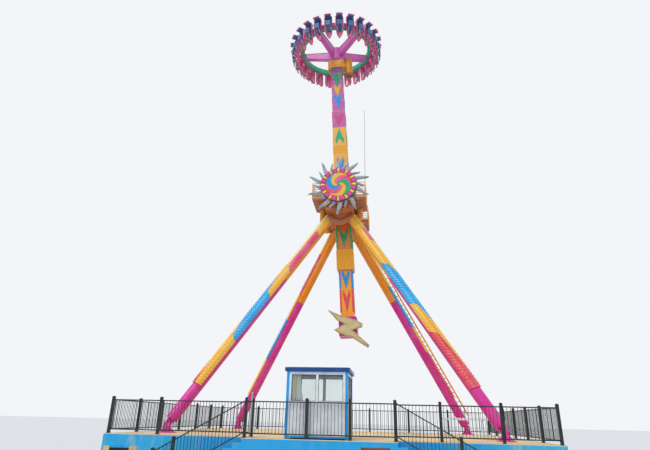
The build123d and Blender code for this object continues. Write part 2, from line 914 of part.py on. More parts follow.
def make_seat_pieces():
    """One seat on the side that faces -Y, in the gondola's own frame, feet upward."""
    back = seat_back_radius
    inside = back + seat_back_thickness
    half_shoulder = seat_shoulder_width / 2
    half_head = seat_head_width / 2
    half_harness = harness_width / 2
    outline = [
        (-half_head, -seat_head_reach),
        (half_head, -seat_head_reach),
        (half_shoulder, -seat_taper_start),
        (half_shoulder, seat_pan_reach),
        (-half_shoulder, seat_pan_reach),
        (-half_shoulder, -seat_taper_start),
    ]
    facing = Plane(origin=(0, 0, 0), x_dir=(1, 0, 0), z_dir=(0, -1, 0))
    shell_back = extrude(facing.offset(back) * make_face(Polyline(*outline, close=True)), seat_back_thickness)
    bracket = box_between(
        (-seat_bracket_width / 2, -back, -seat_bracket_height / 2),
        (seat_bracket_width / 2, -ring_outer_radius + seat_side_thickness, seat_bracket_height / 2),
    )
    beam_room = extrude(
        Pos(0, 0, -seat_bracket_height) * Circle(ring_outer_radius + seat_clearance), 2 * seat_bracket_height
    )
    shell_back += bracket - beam_room
    sides = []
    for side in (-1, 1):
        edge = side * half_shoulder
        inner = edge - side * seat_side_thickness
        sides.append(
            box_between(
                (min(edge, inner), -inside - seat_side_depth, -seat_side_top),
                (max(edge, inner), -inside, seat_pan_reach),
            )
        )
    pan = box_between(
        (-half_shoulder, -inside - seat_pan_length, seat_pan_reach),
        (half_shoulder, -back, seat_pan_reach + seat_pan_thickness),
    )
    pad_half = half_shoulder - pad_margin
    pad_top = -harness_root + harness_arm_size
    pad_outline = [
        (-half_head + pad_margin, pad_top),
        (half_head - pad_margin, pad_top),
        (pad_half, -seat_taper_start),
        (pad_half, seat_pan_reach - pad_thickness),
        (-pad_half, seat_pan_reach - pad_thickness),
        (-pad_half, -seat_taper_start),
    ]
    back_pad = extrude(facing.offset(inside) * make_face(Polyline(*pad_outline, close=True)), pad_thickness)
    seat_pad = box_between(
        (-pad_half, -inside - seat_pan_length + pad_margin, seat_pan_reach - pad_thickness),
        (pad_half, -inside, seat_pan_reach),
    )
    arms = []
    half_arm = harness_arm_size / 2
    arm_x = half_harness - half_arm
    for side in (-1, 1):
        arms.append(
            box_between(
                (side * arm_x - half_arm, -inside - harness_reach, -harness_root - half_arm),
                (side * arm_x + half_arm, -inside, -harness_root + half_arm),
            )
        )
    pad_face = [
        (-half_harness, -harness_root + half_arm),
        (-half_harness + harness_arm_size, -harness_root + half_arm),
        (-half_harness + harness_arm_size, -harness_chest_top),
        (half_harness - harness_arm_size, -harness_chest_top),
        (half_harness - harness_arm_size, -harness_root + half_arm),
        (half_harness, -harness_root + half_arm),
        (half_harness, -harness_pad_bottom),
        (-half_harness, -harness_pad_bottom),
    ]
    pads_back = inside + harness_reach - harness_pad_thickness
    pads = extrude(facing.offset(pads_back) * make_face(Polyline(*pad_face, close=True)), harness_pad_thickness)
    return {
        "seat_backs": [shell_back],
        "seat_sides": sides,
        "seat_pans": [pan],
        "back_pads": [back_pad],
        "seat_pads": [seat_pad],
        "harness_arms": arms,
        "harness_pads": [pads],
    }


def make_gondola():
    base = housing_end - ring_level + bearing_gap
    hub = extrude(Pos(0, 0, base) * Circle(gondola_hub_radius), gondola_hub_top - ring_level - base)
    bore_depth = spindle_length + bearing_gap
    hub -= extrude(Pos(0, 0, base - bearing_gap) * Circle(spindle_radius + axle_clearance), bore_depth)
    cap_base = gondola_hub_top - ring_level
    cap_edge = Pos(0, 0, cap_base) * Circle(gondola_cap_radius)
    cap_tip = Pos(0, 0, cap_base + gondola_cap_height) * Circle(gondola_cap_tip_radius)
    cap = loft([cap_edge, cap_tip])
    half_ring = ring_height / 2
    inner = ring_inner_radius
    root = gondola_hub_radius
    root_top = half_ring - spoke_root_drop
    profile = [
        (0, root_top),
        (root, root_top),
        (inner, half_ring),
        (inner, half_ring - spoke_tip_height),
        (root, root_top - spoke_root_height),
        (0, root_top - spoke_root_height),
    ]
    spoke = extrude(Plane.XZ.offset(-spoke_width / 2) * make_face(Polyline(*profile, close=True)), spoke_width)
    hub_room = extrude(Pos(0, 0, -ring_level) * Circle(root), 2 * ring_level)
    rim_limit = extrude(Pos(0, 0, -ring_level) * Circle(inner), 2 * ring_level)
    spoke = (spoke & rim_limit) - hub_room
    spoke_start = -90 - 180 / spoke_count
    beam = extrude(Pos(0, 0, -half_ring) * (Circle(ring_outer_radius) - Circle(inner)), ring_height)
    nodes = {
        "gondola_hub": hub + cap,
        "spokes": Compound(children=around(spoke, spoke_count, spoke_start)),
        "ring_beam": beam,
    }
    for name, pieces in make_seat_pieces().items():
        copies = []
        for piece in pieces:
            copies += around(piece, seat_count)
        nodes[name] = Compound(children=copies)
    return {name: gondola_place(solid) for name, solid in nodes.items()}


def make_ride():
    stair = make_stair()
    nodes = {}
    nodes.update(make_platform())
    nodes["stair_right"] = stair
    nodes["stair_left"] = mirror(stair, Plane.YZ)
    nodes.update(make_fences())
    nodes.update(make_deck_fittings())
    nodes.update(make_cabin())
    nodes.update(make_structure())
    nodes.update(make_medallion())
    nodes.update(make_service())
    nodes.update(make_ladder())
    nodes.update(make_pendulum())
    nodes.update(make_gondola())
    return nodes


os.makedirs("parts", exist_ok=True)
ride = make_ride()
for node_name, node_shape in ride.items():
    export_step(node_shape, f"parts/{node_name}.step")
print(len(ride), "nodes")
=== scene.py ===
"""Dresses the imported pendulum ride: finishes, lamp rows, seats, cladding, camera and light."""

import logging
from dataclasses import dataclass, field
from enum import Enum
from math import atan2, copysign, cos, pi, radians, sin
from typing import Any, Iterator, Optional, Sequence, Union

import bpy
import numpy as np
from mathutils import Matrix, Vector


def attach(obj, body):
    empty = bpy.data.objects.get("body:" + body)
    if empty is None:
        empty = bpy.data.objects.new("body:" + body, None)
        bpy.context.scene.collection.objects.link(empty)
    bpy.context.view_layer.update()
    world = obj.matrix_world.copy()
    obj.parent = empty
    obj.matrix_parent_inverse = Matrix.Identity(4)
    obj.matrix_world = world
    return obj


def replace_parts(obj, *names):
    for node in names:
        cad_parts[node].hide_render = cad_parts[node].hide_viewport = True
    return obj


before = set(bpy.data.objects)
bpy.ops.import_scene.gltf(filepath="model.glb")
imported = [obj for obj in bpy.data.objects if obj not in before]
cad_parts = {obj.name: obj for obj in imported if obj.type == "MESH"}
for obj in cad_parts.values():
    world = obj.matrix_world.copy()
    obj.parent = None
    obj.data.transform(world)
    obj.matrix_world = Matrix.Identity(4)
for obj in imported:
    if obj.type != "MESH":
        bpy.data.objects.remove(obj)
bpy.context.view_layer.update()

log = logging.getLogger("ride")

# Short names
moved = Matrix.Translation
Point = Sequence[float]
Flat = tuple[float, float]
Flats = Sequence[Flat]
Tree = bpy.types.NodeTree
Node = bpy.types.Node
Socket = bpy.types.NodeSocket
Material = bpy.types.Material
Piece = bpy.types.Object
Source = Union[Node, Socket, float, str, Sequence[float]]
Feeds = dict[str, Source]
Fixed = Sequence[tuple[str, float]]


def anew(kind: type, *given: Union[str, float]) -> Any:
    """A dataclass field whose value every instance makes anew."""
    return field(default_factory=lambda: kind(*given))


# The ride's main lines, in metres, in the frame of the CAD part.
DECK = 1.7
PIVOT = Vector((0.0, 0.0, 13.9))
ARM_TILT = radians(-2.8)
RING_LEVEL = 11.2
SPIN_OFFSET = radians(10.1)
FOOT = (6.71, 5.085, DECK + 0.32)
LEG_TOP = (0.203, 1.03, DECK + 11.495)
LEG_RADIUS = 0.245
SEATS = 25
UP = (0.0, 0.0, 1.0)


def arm_frame() -> Matrix:
    """The frame of the swinging arm: origin at the pivot, +Z towards the gondola."""
    return moved(PIVOT) @ Matrix.Rotation(ARM_TILT, 4, "Y")


def gondola_frame() -> Matrix:
    """The frame of the turning ring: origin at its centre, +Z away from the arm."""
    return arm_frame() @ moved((0, 0, RING_LEVEL)) @ Matrix.Rotation(SPIN_OFFSET, 4, "Z")


def leg_frame(side_x: int, side_y: int) -> Matrix:
    """The frame of one leg.

    Args:
        side_x: 1 for a right leg and -1 for a left one.
        side_y: 1 for a rear leg and -1 for a front one.

    Returns:
        The frame with its origin at the foot pin, +Z up along the leg, +X to the ride's outer
        side and +Y away from the ride's middle, so that it is left-handed for two of the legs.
    """
    foot = Vector((side_x * FOOT[0], side_y * FOOT[1], FOOT[2]))
    top = Vector((side_x * LEG_TOP[0], side_y * LEG_TOP[1], LEG_TOP[2]))
    upward = (top - foot).normalized()
    outer = Vector((side_x, 0, 0))
    outer = (outer - upward * outer.dot(upward)).normalized()
    across = upward.cross(outer)
    if across.y * side_y < 0:
        across = -across
    turn = Matrix((outer, across, upward)).transposed().to_4x4()
    return moved(foot) @ turn


# Colours and nodes


def linear(code: str) -> tuple[float, float, float, float]:
    """Turns an sRGB hex colour into a linear RGBA one.

    Args:
        code: The hex colour with its leading mark.

    Returns:
        The linear colour.
    """
    values = [int(code[i : i + 2], 16) / 255 for i in (1, 3, 5)]
    flat = [v / 12.92 if v <= 0.04045 else ((v + 0.055) / 1.055) ** 2.4 for v in values]
    return (flat[0], flat[1], flat[2], 1.0)


def feed(tree: Tree, socket: Socket, source: Source) -> None:
    """Feeds an input.

    Args:
        tree: The node tree.
        socket: The input.
        source: A constant, a hex colour, an output, or a node whose first live output is taken.
    """
    if isinstance(source, Node):
        source = next(output for output in source.outputs if output.enabled)
    if isinstance(source, Socket):
        tree.links.new(source, socket)
    elif isinstance(source, str) and source.startswith("#"):
        socket.default_value = linear(source)
    else:
        socket.default_value = source


def add(
    tree: Tree, kind: str, inputs: Optional[dict] = None, stops: Sequence = (), hard: bool = False, **settings
) -> Node:
    """Adds a node to a tree with its settings, constants and links.

    Args:
        tree: The node tree.
        kind: The node's type name, a shader node's without its prefix.
        inputs: Input name or number to what feeds it.
        stops: A colour ramp's pairs of position and colour, the colour as hex text or a grey value.
        hard: True for a colour ramp whose steps have hard edges.
        **settings: Attributes set on the node.

    Returns:
        The new node.
    """
    node = tree.nodes.new(kind if "Node" in kind else f"ShaderNode{kind}")
    for name, value in settings.items():
        setattr(node, name, value)
    for key, source in (inputs or {}).items():
        feed(tree, node.inputs[key], source)
    if stops:
        node.color_ramp.interpolation = "CONSTANT" if hard else "LINEAR"
        elements = node.color_ramp.elements
        while len(elements) < len(stops):
            elements.new(0.5)
        for element, (position, colour) in zip(elements, stops):
            element.position = position
            element.color = linear(colour) if isinstance(colour, str) else (colour, colour, colour, 1.0)
    return node


def surface_point(tree: Tree, local: Optional[Matrix] = None) -> Source:
    """The point on the surface that patterns are drawn from.

    Args:
        tree: The node tree.
        local: A frame to give the point in, or None for the ride's own.

    Returns:
        What gives the point.
    """
    place = add(tree, "TexCoord").outputs["Object"]
    if local is None:
        return place
    turned = {"Vector": place, "Location": local.translation, "Rotation": local.to_euler()}
    return add(tree, "Mapping", turned, vector_type="TEXTURE")


def patches(
    tree: Tree, place: Source, size: float, stops: Sequence, detail: float = 3.0, rough: float = 0.55
) -> Node:
    """Uneven wear: noise put through a ramp.

    Args:
        tree: The node tree.
        place: The point on the surface.
        size: How far across a patch is, in metres.
        stops: The ramp's pairs of noise level and colour or grey value.
        detail: How many finer noises are added.
        rough: How strong the finer ones are.

    Returns:
        The ramp.
    """
    pattern = {"Vector": place, "Scale": 1 / size, "Detail": detail, "Roughness": rough}
    return add(tree, "ValToRGB", {"Fac": add(tree, "TexNoise", pattern)}, stops)


def uneven(
    tree: Tree, place: Source, size: float, strength: float, depth: float, detail: float = 3.0
) -> Node:
    """A fine unevenness in the surface: noise read as height.

    Args:
        tree: The node tree.
        place: The point on the surface.
        size: How far across a hump is, in metres.
        strength: How much of the height shows.
        depth: The height in metres.
        detail: How many finer noises are added.

    Returns:
        The node that gives the normal.
    """
    pattern = {"Vector": place, "Scale": 1 / size, "Detail": detail, "Roughness": 0.55}
    height = add(tree, "TexNoise", pattern)
    return add(tree, "Bump", {"Strength": strength, "Distance": depth, "Height": height})


# Finishes


@dataclass(frozen=True)
class Finish:
    """A finish, whose kinds differ in what feeds the main shader."""

    name: str

    def inputs(self, tree: Tree) -> Feeds:
        """What feeds the shader, by input name."""
        raise NotImplementedError

    def build(self) -> Material:
        """Makes the material.

        Returns:
            The material.
        """
        material = bpy.data.materials.new(self.name)
        material.use_nodes = True
        tree = material.node_tree
        shader = next(node for node in tree.nodes if node.type == "BSDF_PRINCIPLED")
        for name, source in self.inputs(tree).items():
            feed(tree, shader.inputs[name], source)
        return material


@dataclass(frozen=True)
class Enamel(Finish):
    """Brushed gloss enamel on steel: colour that has faded unevenly, fine brush waviness, dust in patches."""

    colour: str
    faded: str
    roughness: float = 0.34
    patch: float = 0.6
    metallic: float = 0.0

    def inputs(self, tree: Tree) -> Feeds:
        """What feeds the shader.

        Args:
            tree: The node tree.

        Returns:
            The sources by input name.
        """
        place = surface_point(tree)
        dust = [(0.3, self.roughness - 0.08), (0.8, self.roughness + 0.14)]
        # brush marks about 4 mm apart would vanish at this distance, so they are drawn at 15 mm
        brushed = uneven(tree, place, 0.015, 0.12, 0.002, 2.0)
        return {
            "Base Color": patches(tree, place, self.patch, [(0.38, self.colour), (0.72, self.faded)], 4.0),
            "Roughness": patches(tree, place, self.patch * 0.35, dust),
            "Normal": brushed,
            "Metallic": self.metallic,
            "IOR": 1.47,
        }


@dataclass(frozen=True)
class WallPaint(Finish):
    """Roller-painted sheet cladding: sun-bleached patches, streaks under the edge, sheet joints."""

    colour: str
    bleached: str
    streaked: str
    bare: str
    joint: str = "#0a5f86"
    sheet_width: float = 1.22
    half_length: float = 8.24

    def inputs(self, tree: Tree) -> Feeds:
        """What feeds the shader; the ends of the platform are the most weathered.

        Args:
            tree: The node tree.

        Returns:
            The sources by input name.
        """
        place = surface_point(tree)
        split = add(tree, "SeparateXYZ", {0: place}).outputs
        share = add(tree, "Math", {0: split[0], 1: self.half_length}, operation="DIVIDE")
        reach = add(tree, "Math", {0: share}, operation="ABSOLUTE")
        exposed = add(tree, "ValToRGB", {0: reach}, [(0.3, 0.12), (0.62, 0.35), (0.8, 1.0)])
        stretched = add(tree, "Mapping", {"Vector": place, "Scale": (1.0, 1.0, 0.22)})
        clouds = patches(tree, place, 1.5, [(0.42, 0.0), (0.6, 0.9)], 4.0)
        streaks = patches(tree, stretched, 0.4, [(0.5, 0.0), (0.62, 0.8)], 5.0, 0.62)
        chips = patches(tree, place, 0.09, [(0.69, 0.0), (0.72, 0.75)], 6.0, 0.7)
        chipped = patches(tree, place, 2.4, [(0.52, 0.0), (0.6, 1.0)], 2.0)
        along = add(tree, "Math", {0: split[0], 1: split[1]}, operation="ADD")
        sheets = add(tree, "Math", {0: along, 1: self.sheet_width}, operation="DIVIDE")
        cell = add(tree, "Math", {0: sheets}, operation="FRACT")
        seam = add(tree, "Math", {0: cell, 1: 0.006}, operation="LESS_THAN")
        colour = self.colour
        for wear, amount, worn in (
            (clouds, exposed, self.bleached),
            (streaks, exposed, self.streaked),
            (chips, chipped, self.bare),
            (seam, 0.45, self.joint),
        ):
            part = add(tree, "Math", {0: wear, 1: amount}, operation="MULTIPLY")
            colour = add(tree, "Mix", {0: part, 6: colour, 7: worn}, data_type="RGBA")
        nap = {"Vector": place, "Scale": 1 / 0.03, "Detail": 3.0, "Roughness": 0.55}
        rolled = add(tree, "TexNoise", nap)
        height = add(tree, "Math", {0: rolled, 1: seam}, operation="SUBTRACT")
        return {
            "Base Color": colour,
            "Roughness": add(tree, "ValToRGB", {0: clouds}, [(0.0, 0.42), (1.0, 0.62)]),
            "Normal": add(tree, "Bump", {"Strength": 0.25, "Distance": 0.004, "Height": height}),
        }


@dataclass(frozen=True)
class Worn(Finish):
    """A finish that patches of wear turn into another colour; its kinds set the numbers and the grain."""

    colour: str
    worn: str
    patch: float = 0.2
    wear: Flats = ((0.42, 0.0), (0.75, 0.7))
    detail: float = 3.0
    rough: float = 0.55
    fixed: Fixed = ()

    def grain(self, tree: Tree, place: Source, wear: Node) -> Feeds:
        """What feeds the shader beside the colour and the fixed values; nothing, unless a kind says so."""
        return {}

    def inputs(self, tree: Tree) -> Feeds:
        """What feeds the shader.

        Args:
            tree: The node tree.

        Returns:
            The sources by input name.
        """
        place = surface_point(tree)
        wear = patches(tree, place, self.patch, self.wear, self.detail, self.rough)
        colour = add(tree, "Mix", {0: wear, 6: self.colour, 7: self.worn}, data_type="RGBA")
        return {"Base Color": colour, **dict(self.fixed), **self.grain(tree, place, wear)}


@dataclass(frozen=True)
class FloorPaint(Worn):
    """Cream anti-slip floor paint: gritty, scuffed grey where people walk."""

    patch: float = 1.1
    wear: Flats = ((0.45, 0.0), (0.75, 0.7))
    detail: float = 6.0
    rough: float = 0.65
    fixed: Fixed = (("Roughness", 0.78),)

    def grain(self, tree: Tree, place: Source, wear: Node) -> Feeds:
        """The grit; 1 mm grit is drawn at 8 mm so that it shows."""
        return {"Normal": uneven(tree, place, 0.008, 0.3, 0.003, 2.0)}


@dataclass(frozen=True)
class Galvanised(Finish):
    """Hot-dip galvanised steel: grey zinc with a faint spangle and a dull sheen."""

    colour: str = "#b9bcc0"
    dark: str = "#85898e"
    spangle: float = 0.02

    def inputs(self, tree: Tree) -> Feeds:
        """What feeds the shader.

        Args:
            tree: The node tree.

        Returns:
            The sources by input name.
        """
        cells = add(tree, "TexVoronoi", {"Vector": surface_point(tree), "Scale": 1 / self.spangle})
        return {
            "Base Color": add(tree, "ValToRGB", {0: cells}, [(0.0, self.dark), (0.7, self.colour)]),
            "Roughness": add(tree, "ValToRGB", {0: cells}, [(0.0, 0.5), (0.8, 0.3)]),
            "Metallic": 0.8,
        }


@dataclass(frozen=True)
class ClearPlastic(Worn):
    """Polycarbonate lamp caps, unlit: smoky clear moulding with a glossy face."""

    worn: str = "#f4efe2"
    patch: float = 0.25
    wear: Flats = ((0.3, 0.0), (0.7, 0.3))
    fixed: Fixed = (("Roughness", 0.15), ("IOR", 1.58), ("Coat Weight", 0.5), ("Coat Roughness", 0.08))


@dataclass(frozen=True)
class Gelcoat(Worn):
    """Glass-fibre seat shell with a polished gelcoat: smooth, glossy, paler where the sun has chalked it."""

    patch: float = 0.22
    wear: Flats = ((0.4, 0.0), (0.75, 0.8))
    fixed: Fixed = (("Coat Weight", 0.4), ("Coat Roughness", 0.12))

    def grain(self, tree: Tree, place: Source, wear: Node) -> Feeds:
        """The chalk dulls the gloss."""
        return {"Roughness": add(tree, "ValToRGB", {0: wear}, [(0.0, 0.2), (1.0, 0.38)])}


@dataclass(frozen=True)
class Vinyl(Worn):
    """Coated upholstery cloth on foam: pebbled grain, soft sheen, lighter in random patches."""

    patch: float = 0.12
    fixed: Fixed = (("Roughness", 0.46), ("Sheen Weight", 0.25), ("Sheen Roughness", 0.4))
    pebble: float = 0.006

    def grain(self, tree: Tree, place: Source, wear: Node) -> Feeds:
        """The leather grain; a 1 mm grain is drawn at 6 mm so that it shows."""
        cells = add(tree, "TexVoronoi", {"Vector": place, "Scale": 1 / self.pebble})
        return {"Normal": add(tree, "Bump", {"Strength": 0.25, "Distance": 0.001, "Height": cells})}


@dataclass(frozen=True)
class WindowGlass(Finish):
    """Clear float glass with a faint green edge."""

    name: str = "float glass"
    colour: str = "#f2f8f6"

    def inputs(self, tree: Tree) -> Feeds:
        """What feeds the shader, by input name."""
        rough = patches(tree, surface_point(tree), 0.4, [(0.4, 0.02), (0.8, 0.08)])
        return {"Base Color": self.colour, "Roughness": rough, "Transmission Weight": 0.97, "IOR": 1.5}


@dataclass(frozen=True)
class Rubber(Finish):
    """Black extruded rubber, matt, with a grey bloom."""

    name: str = "rubber sheath"

    def inputs(self, tree: Tree) -> Feeds:
        """What feeds the shader, by input name."""
        bloom = patches(tree, surface_point(tree), 0.05, [(0.3, "#141414"), (0.8, "#2b2b2c")])
        return {"Base Color": bloom, "Roughness": 0.7}


@dataclass(frozen=True)
class CurtainCloth(Finish):
    """Light polyester curtain: twill with one yellow-green stripe, softly see-through; the cloth is painted
    near white, above its own pale grey, as painted light.
    """

    name: str = "polyester curtain"
    # lighter than the cloth's own pale grey: painted light for the daylight that the glass keeps from it
    cloth: str = "#f2f2f0"
    stripe: str = "#d8de6a"
    shade: str = "#9aa3a8"

    def inputs(self, tree: Tree) -> Feeds:
        """What feeds the shader; the stripe follows the cloth's own width.

        Args:
            tree: The node tree.

        Returns:
            The sources by input name.
        """
        across = add(tree, "UVMap", uv_map="cloth")
        share = add(tree, "SeparateXYZ", {0: across})
        stripes = [(0.0, self.cloth), (0.36, self.stripe), (0.46, self.cloth)]
        colour = add(tree, "ValToRGB", {0: share}, stripes, hard=True)
        # a 1 mm twill is drawn at 4 mm
        twill = add(tree, "TexWave", {"Vector": across, "Scale": 80.0, "Distortion": 0.4})
        twill = twill.outputs["Fac"]
        part = add(tree, "Math", {0: twill, 1: 0.12}, operation="MULTIPLY")
        return {
            "Base Color": add(tree, "Mix", {0: part, 6: colour, 7: self.shade}, data_type="RGBA"),
            "Roughness": 0.85,
            "Normal": add(tree, "Bump", {"Strength": 0.2, "Distance": 0.001, "Height": twill}),
            "Sheen Weight": 0.3,
        }


@dataclass(frozen=True)
class ZonedPaint(Finish):
    """Enamel in zones along a local Z axis: the arm's and the legs' colour changes, and painted shade atop
    the upper arm.
    """

    at: Matrix
    zones: Sequence[tuple[float, str]]
    low: float
    high: float
    roughness: float = 0.32
    dust: str = "#f3d9c8"

    def inputs(self, tree: Tree) -> Feeds:
        """What feeds the shader; a zone is a start height and a colour, lowest first.

        Args:
            tree: The node tree.

        Returns:
            The sources by input name.
        """
        place = surface_point(tree, self.at)
        height = add(tree, "SeparateXYZ", {0: place}).outputs[2]
        ends = {"Value": height, "From Min": self.low, "From Max": self.high}
        stops = [(max(0.0, (z - self.low) / (self.high - self.low)), colour) for z, colour in self.zones]
        paint = add(tree, "ValToRGB", {0: add(tree, "MapRange", ends)}, stops, hard=True)
        fade = patches(tree, place, 0.7, [(0.4, 0.0), (0.75, 0.12)], 4.0)
        return {
            "Base Color": add(tree, "Mix", {0: fade, 6: paint, 7: self.dust}, data_type="RGBA"),
            "Roughness": self.roughness,
            "Normal": uneven(tree, place, 0.02, 0.12, 0.002),
            "IOR": 1.47,
        }


@dataclass(frozen=True)
class PlatedPaint(Finish):
    """Enamel on the counterweight: magenta on the body, and on the cut edge of its front plate a cream darker
    than the face's, painted shade on that edge.
    """

    at: Matrix
    plate_start: float = 0.492
    body: str = "#cf1585"
    # a cream darker than the front face's: painted shade on the plate's edges
    plate: str = "#b7a274"
    grime: str = "#6e4a52"

    def inputs(self, tree: Tree) -> Feeds:
        """What feeds the shader; the plate lies beyond a distance to the front.

        Args:
            tree: The node tree.

        Returns:
            The sources by input name.
        """
        place = surface_point(tree, self.at)
        depth = add(tree, "SeparateXYZ", {0: place}).outputs[1]
        # the plate's darker cream is painted shade on its edges
        front = add(tree, "Math", {0: depth, 1: -self.plate_start}, operation="LESS_THAN")
        paint = add(tree, "Mix", {0: front, 6: self.body, 7: self.plate}, data_type="RGBA")
        dirt = patches(tree, place, 0.3, [(0.4, 0.0), (0.8, 0.35)], 4.0)
        return {
            "Base Color": add(tree, "Mix", {0: dirt, 6: paint, 7: self.grime}, data_type="RGBA"),
            "Roughness": 0.36,
            "Normal": uneven(tree, place, 0.02, 0.12, 0.002),
            "IOR": 1.47,
        }


@dataclass(frozen=True)
class FloorCloth(Finish):
    """The studio's pale matt floor."""

    name: str = "pale studio floor"

    def inputs(self, tree: Tree) -> Feeds:
        """What feeds the shader, by input name."""
        return {"Base Color": "#dadcdd", "Roughness": 0.9}


class Coat(Enum):
    """The ride's finishes, each made once."""

    PLATFORM = WallPaint("roller-painted sheet, sky blue", "#009edc", "#38b0da", "#86b8c0", "#8f9a86")
    DECK = FloorPaint("anti-slip floor paint, cream", "#e9cf9f", "#b9a78a")
    TRIM = Enamel("enamel, cream trim", "#d9c28d", "#b59a63", 0.45)
    HATCH = Enamel("enamel, deep blue", "#0b4aa0", "#1c6fc4", 0.35)
    FENCE = Enamel("enamel, black green", "#0f1817", "#22302d", 0.38, 0.3)
    STEEL = Galvanised("galvanised steel")
    WHITE = Enamel("enamel, white", "#eef1f4", "#cfd6dc", 0.32, 0.4)
    AZURE = Enamel("enamel, azure", "#0096e0", "#10a2ea", 0.3, 0.5)
    ROOF = Enamel("enamel, roof blue", "#003a7a", "#054a90", 0.34, 0.5)
    GLASS = WindowGlass()
    MAGENTA = Enamel("enamel, magenta", "#dc2a9e", "#df4aae", 0.26, 0.9)
    ORANGE = Enamel("enamel, orange", "#f49a00", "#f2a51c", 0.28, 0.8)
    HEAD = Enamel("enamel, rust orange", "#d27a3e", "#b06846", 0.42, 0.7)
    YELLOW = Enamel("enamel, signal yellow", "#f0b010", "#f0bd34", 0.3, 0.8)
    CYAN = Enamel("enamel, light blue", "#04a6e6", "#2cb8ee", 0.3, 0.8)
    PINK = Enamel("enamel, warm pink", "#e83f78", "#ee7a9a", 0.32, 0.8)
    RED = Enamel("enamel, signal red", "#e6404e", "#ee6a70", 0.32, 0.8)
    GREEN = Enamel("enamel, emerald", "#13a873", "#2cc08a", 0.3, 0.5)
    AMBER = Enamel("enamel, amber", "#e7a23a", "#dd8f3c", 0.36, 0.7)
    GOLD = Enamel("enamel, golden amber", "#f7b212", "#f0b63c", 0.34, 0.7)
    BLUE = Enamel("enamel, bright blue", "#0094e6", "#0fa2ec", 0.28, 0.5)
    SILVER = Enamel("silver enamel", "#b3bbc2", "#868f98", 0.38, 0.25, 0.2)
    SPOKE = Enamel("enamel, orchid", "#c858ae", "#d478be", 0.28, 0.6)
    ROSE = Enamel("enamel, rose", "#cc3f86", "#c65a94", 0.3, 0.6)
    CREAM = Enamel("enamel, pale cream", "#cfc794", "#bfae7a", 0.4, 0.3)
    DARK = Enamel("enamel, dark edge", "#3a3442", "#4d4656", 0.4, 0.3)
    SHELL = Gelcoat("gelcoat shell, pink", "#e66a9a", "#f2aac2")
    CRIMSON = Gelcoat("gelcoat rim, crimson", "#b01f5e", "#c2477c")
    PAD = Vinyl("upholstery vinyl, blue", "#2f5f96", "#4877a8")
    CREAM_YELLOW = Enamel("enamel, pale yellow", "#f3d98a", "#f4e0a4", 0.3, 0.8)
    BROWN = Enamel("enamel, red brown", "#7e4434", "#93584a", 0.42, 0.4)
    SLATE = Enamel("enamel, slate", "#2a2f36", "#3b424b", 0.45, 0.3)
    # umber: painted shade on the orange service floors' undersides; also the heads' top covers
    UMBER = Enamel("enamel, umber underside", "#c98a6c", "#b47a64", 0.5, 0.4)
    FLAME = Enamel("enamel, flame orange", "#dd5a24", "#e4744a", 0.34, 0.5)
    GASKET = Rubber("window gasket rubber")
    CURTAIN = CurtainCloth()
    LAMP_PINK = ClearPlastic("lamp cap over magenta", "#f06aa8")
    LAMP_RED = ClearPlastic("lamp cap over red", "#a3264a")
    LAMP_BLUE = ClearPlastic("lamp cap over blue", "#1d6fa8")
    LAMP_AMBER = ClearPlastic("lamp cap over yellow", "#f4cf86")
    LAMP_GREEN = ClearPlastic("lamp cap over green", "#1f7a55")
    CABLE = Rubber()

    def material(self) -> Material:
        """The finish's material, built on first use."""
        return bpy.data.materials.get(self.value.name) or self.value.build()


LAMP_ON = {
    Coat.RED: Coat.LAMP_RED,
    Coat.PINK: Coat.LAMP_RED,
    Coat.CYAN: Coat.LAMP_BLUE,
    Coat.YELLOW: Coat.LAMP_AMBER,
    Coat.CREAM_YELLOW: Coat.LAMP_AMBER,
    Coat.MAGENTA: Coat.LAMP_PINK,
    Coat.BLUE: Coat.LAMP_BLUE,
    Coat.GREEN: Coat.LAMP_GREEN,
    Coat.CREAM: Coat.LAMP_RED,
}


# Outlines and frames


def inset(outline: Flats, distance: float) -> list[Flat]:
    """Moves each corner of an outline inwards.

    Args:
        outline: The anticlockwise outline.
        distance: How far its sides move; outwards where it is negative.

    Returns:
        The moved outline.
    """
    result = []
    count = len(outline)
    for i in range(count):
        a, b, c = (Vector(outline[(i + k) % count]) for k in (-1, 0, 1))
        d0, d1 = (b - a).normalized(), (c - b).normalized()
        n0, n1 = Vector((-d0.y, d0.x)), Vector((-d1.y, d1.x))
        middle = (n0 + n1).normalized()
        reach = distance / max(0.35, middle.dot(n0))
        result.append(tuple(b + middle * reach))
    return result


def rectangle(x0: float, y0: float, x1: float, y1: float) -> list[Flat]:
    """An anticlockwise rectangle."""
    return [(x0, y0), (x1, y0), (x1, y1), (x0, y1)]


def octagon(half_x: float, half_y: float, corner: float) -> list[Flat]:
    """A rectangle about the origin with its corners cut off, anticlockwise.

    Args:
        half_x: Half its width.
        half_y: Half its height.
        corner: How much is cut from each side of a corner.

    Returns:
        The outline.
    """
    x, y = half_x - corner, half_y - corner
    right = [(x, -half_y), (half_x, -y), (half_x, y), (x, half_y)]
    return right + mirrored(right)


def mirrored(outline: Flats) -> list[Flat]:
    """An outline's mirror image across the local Y axis, still anticlockwise."""
    return [(-x, y) for x, y in reversed(outline)]


def points_round(outline: Flats, pitch: float) -> Iterator[Flat]:
    """Points at an even pitch round a closed outline.

    Args:
        outline: The outline.
        pitch: The distance between points.

    Yields:
        Each point.
    """
    for i, start in enumerate(outline):
        a, b = Vector(start), Vector(outline[(i + 1) % len(outline)])
        count = max(1, round((b - a).length / pitch))
        for k in range(count):
            yield tuple(a.lerp(b, (k + 0.5) / count))


def holds(outline: Flats, x: float, y: float) -> bool:
    """Whether a point lies inside an outline.

    Args:
        outline: The outline.
        x: The point's place across.
        y: The point's place up.

    Returns:
        True for a point inside.
    """
    inside = False
    for i, (x0, y0) in enumerate(outline):
        x1, y1 = outline[i - 1]
        if (y0 > y) != (y1 > y) and x < (x1 - x0) * (y - y0) / (y1 - y0) + x0:
            inside = not inside
    return inside


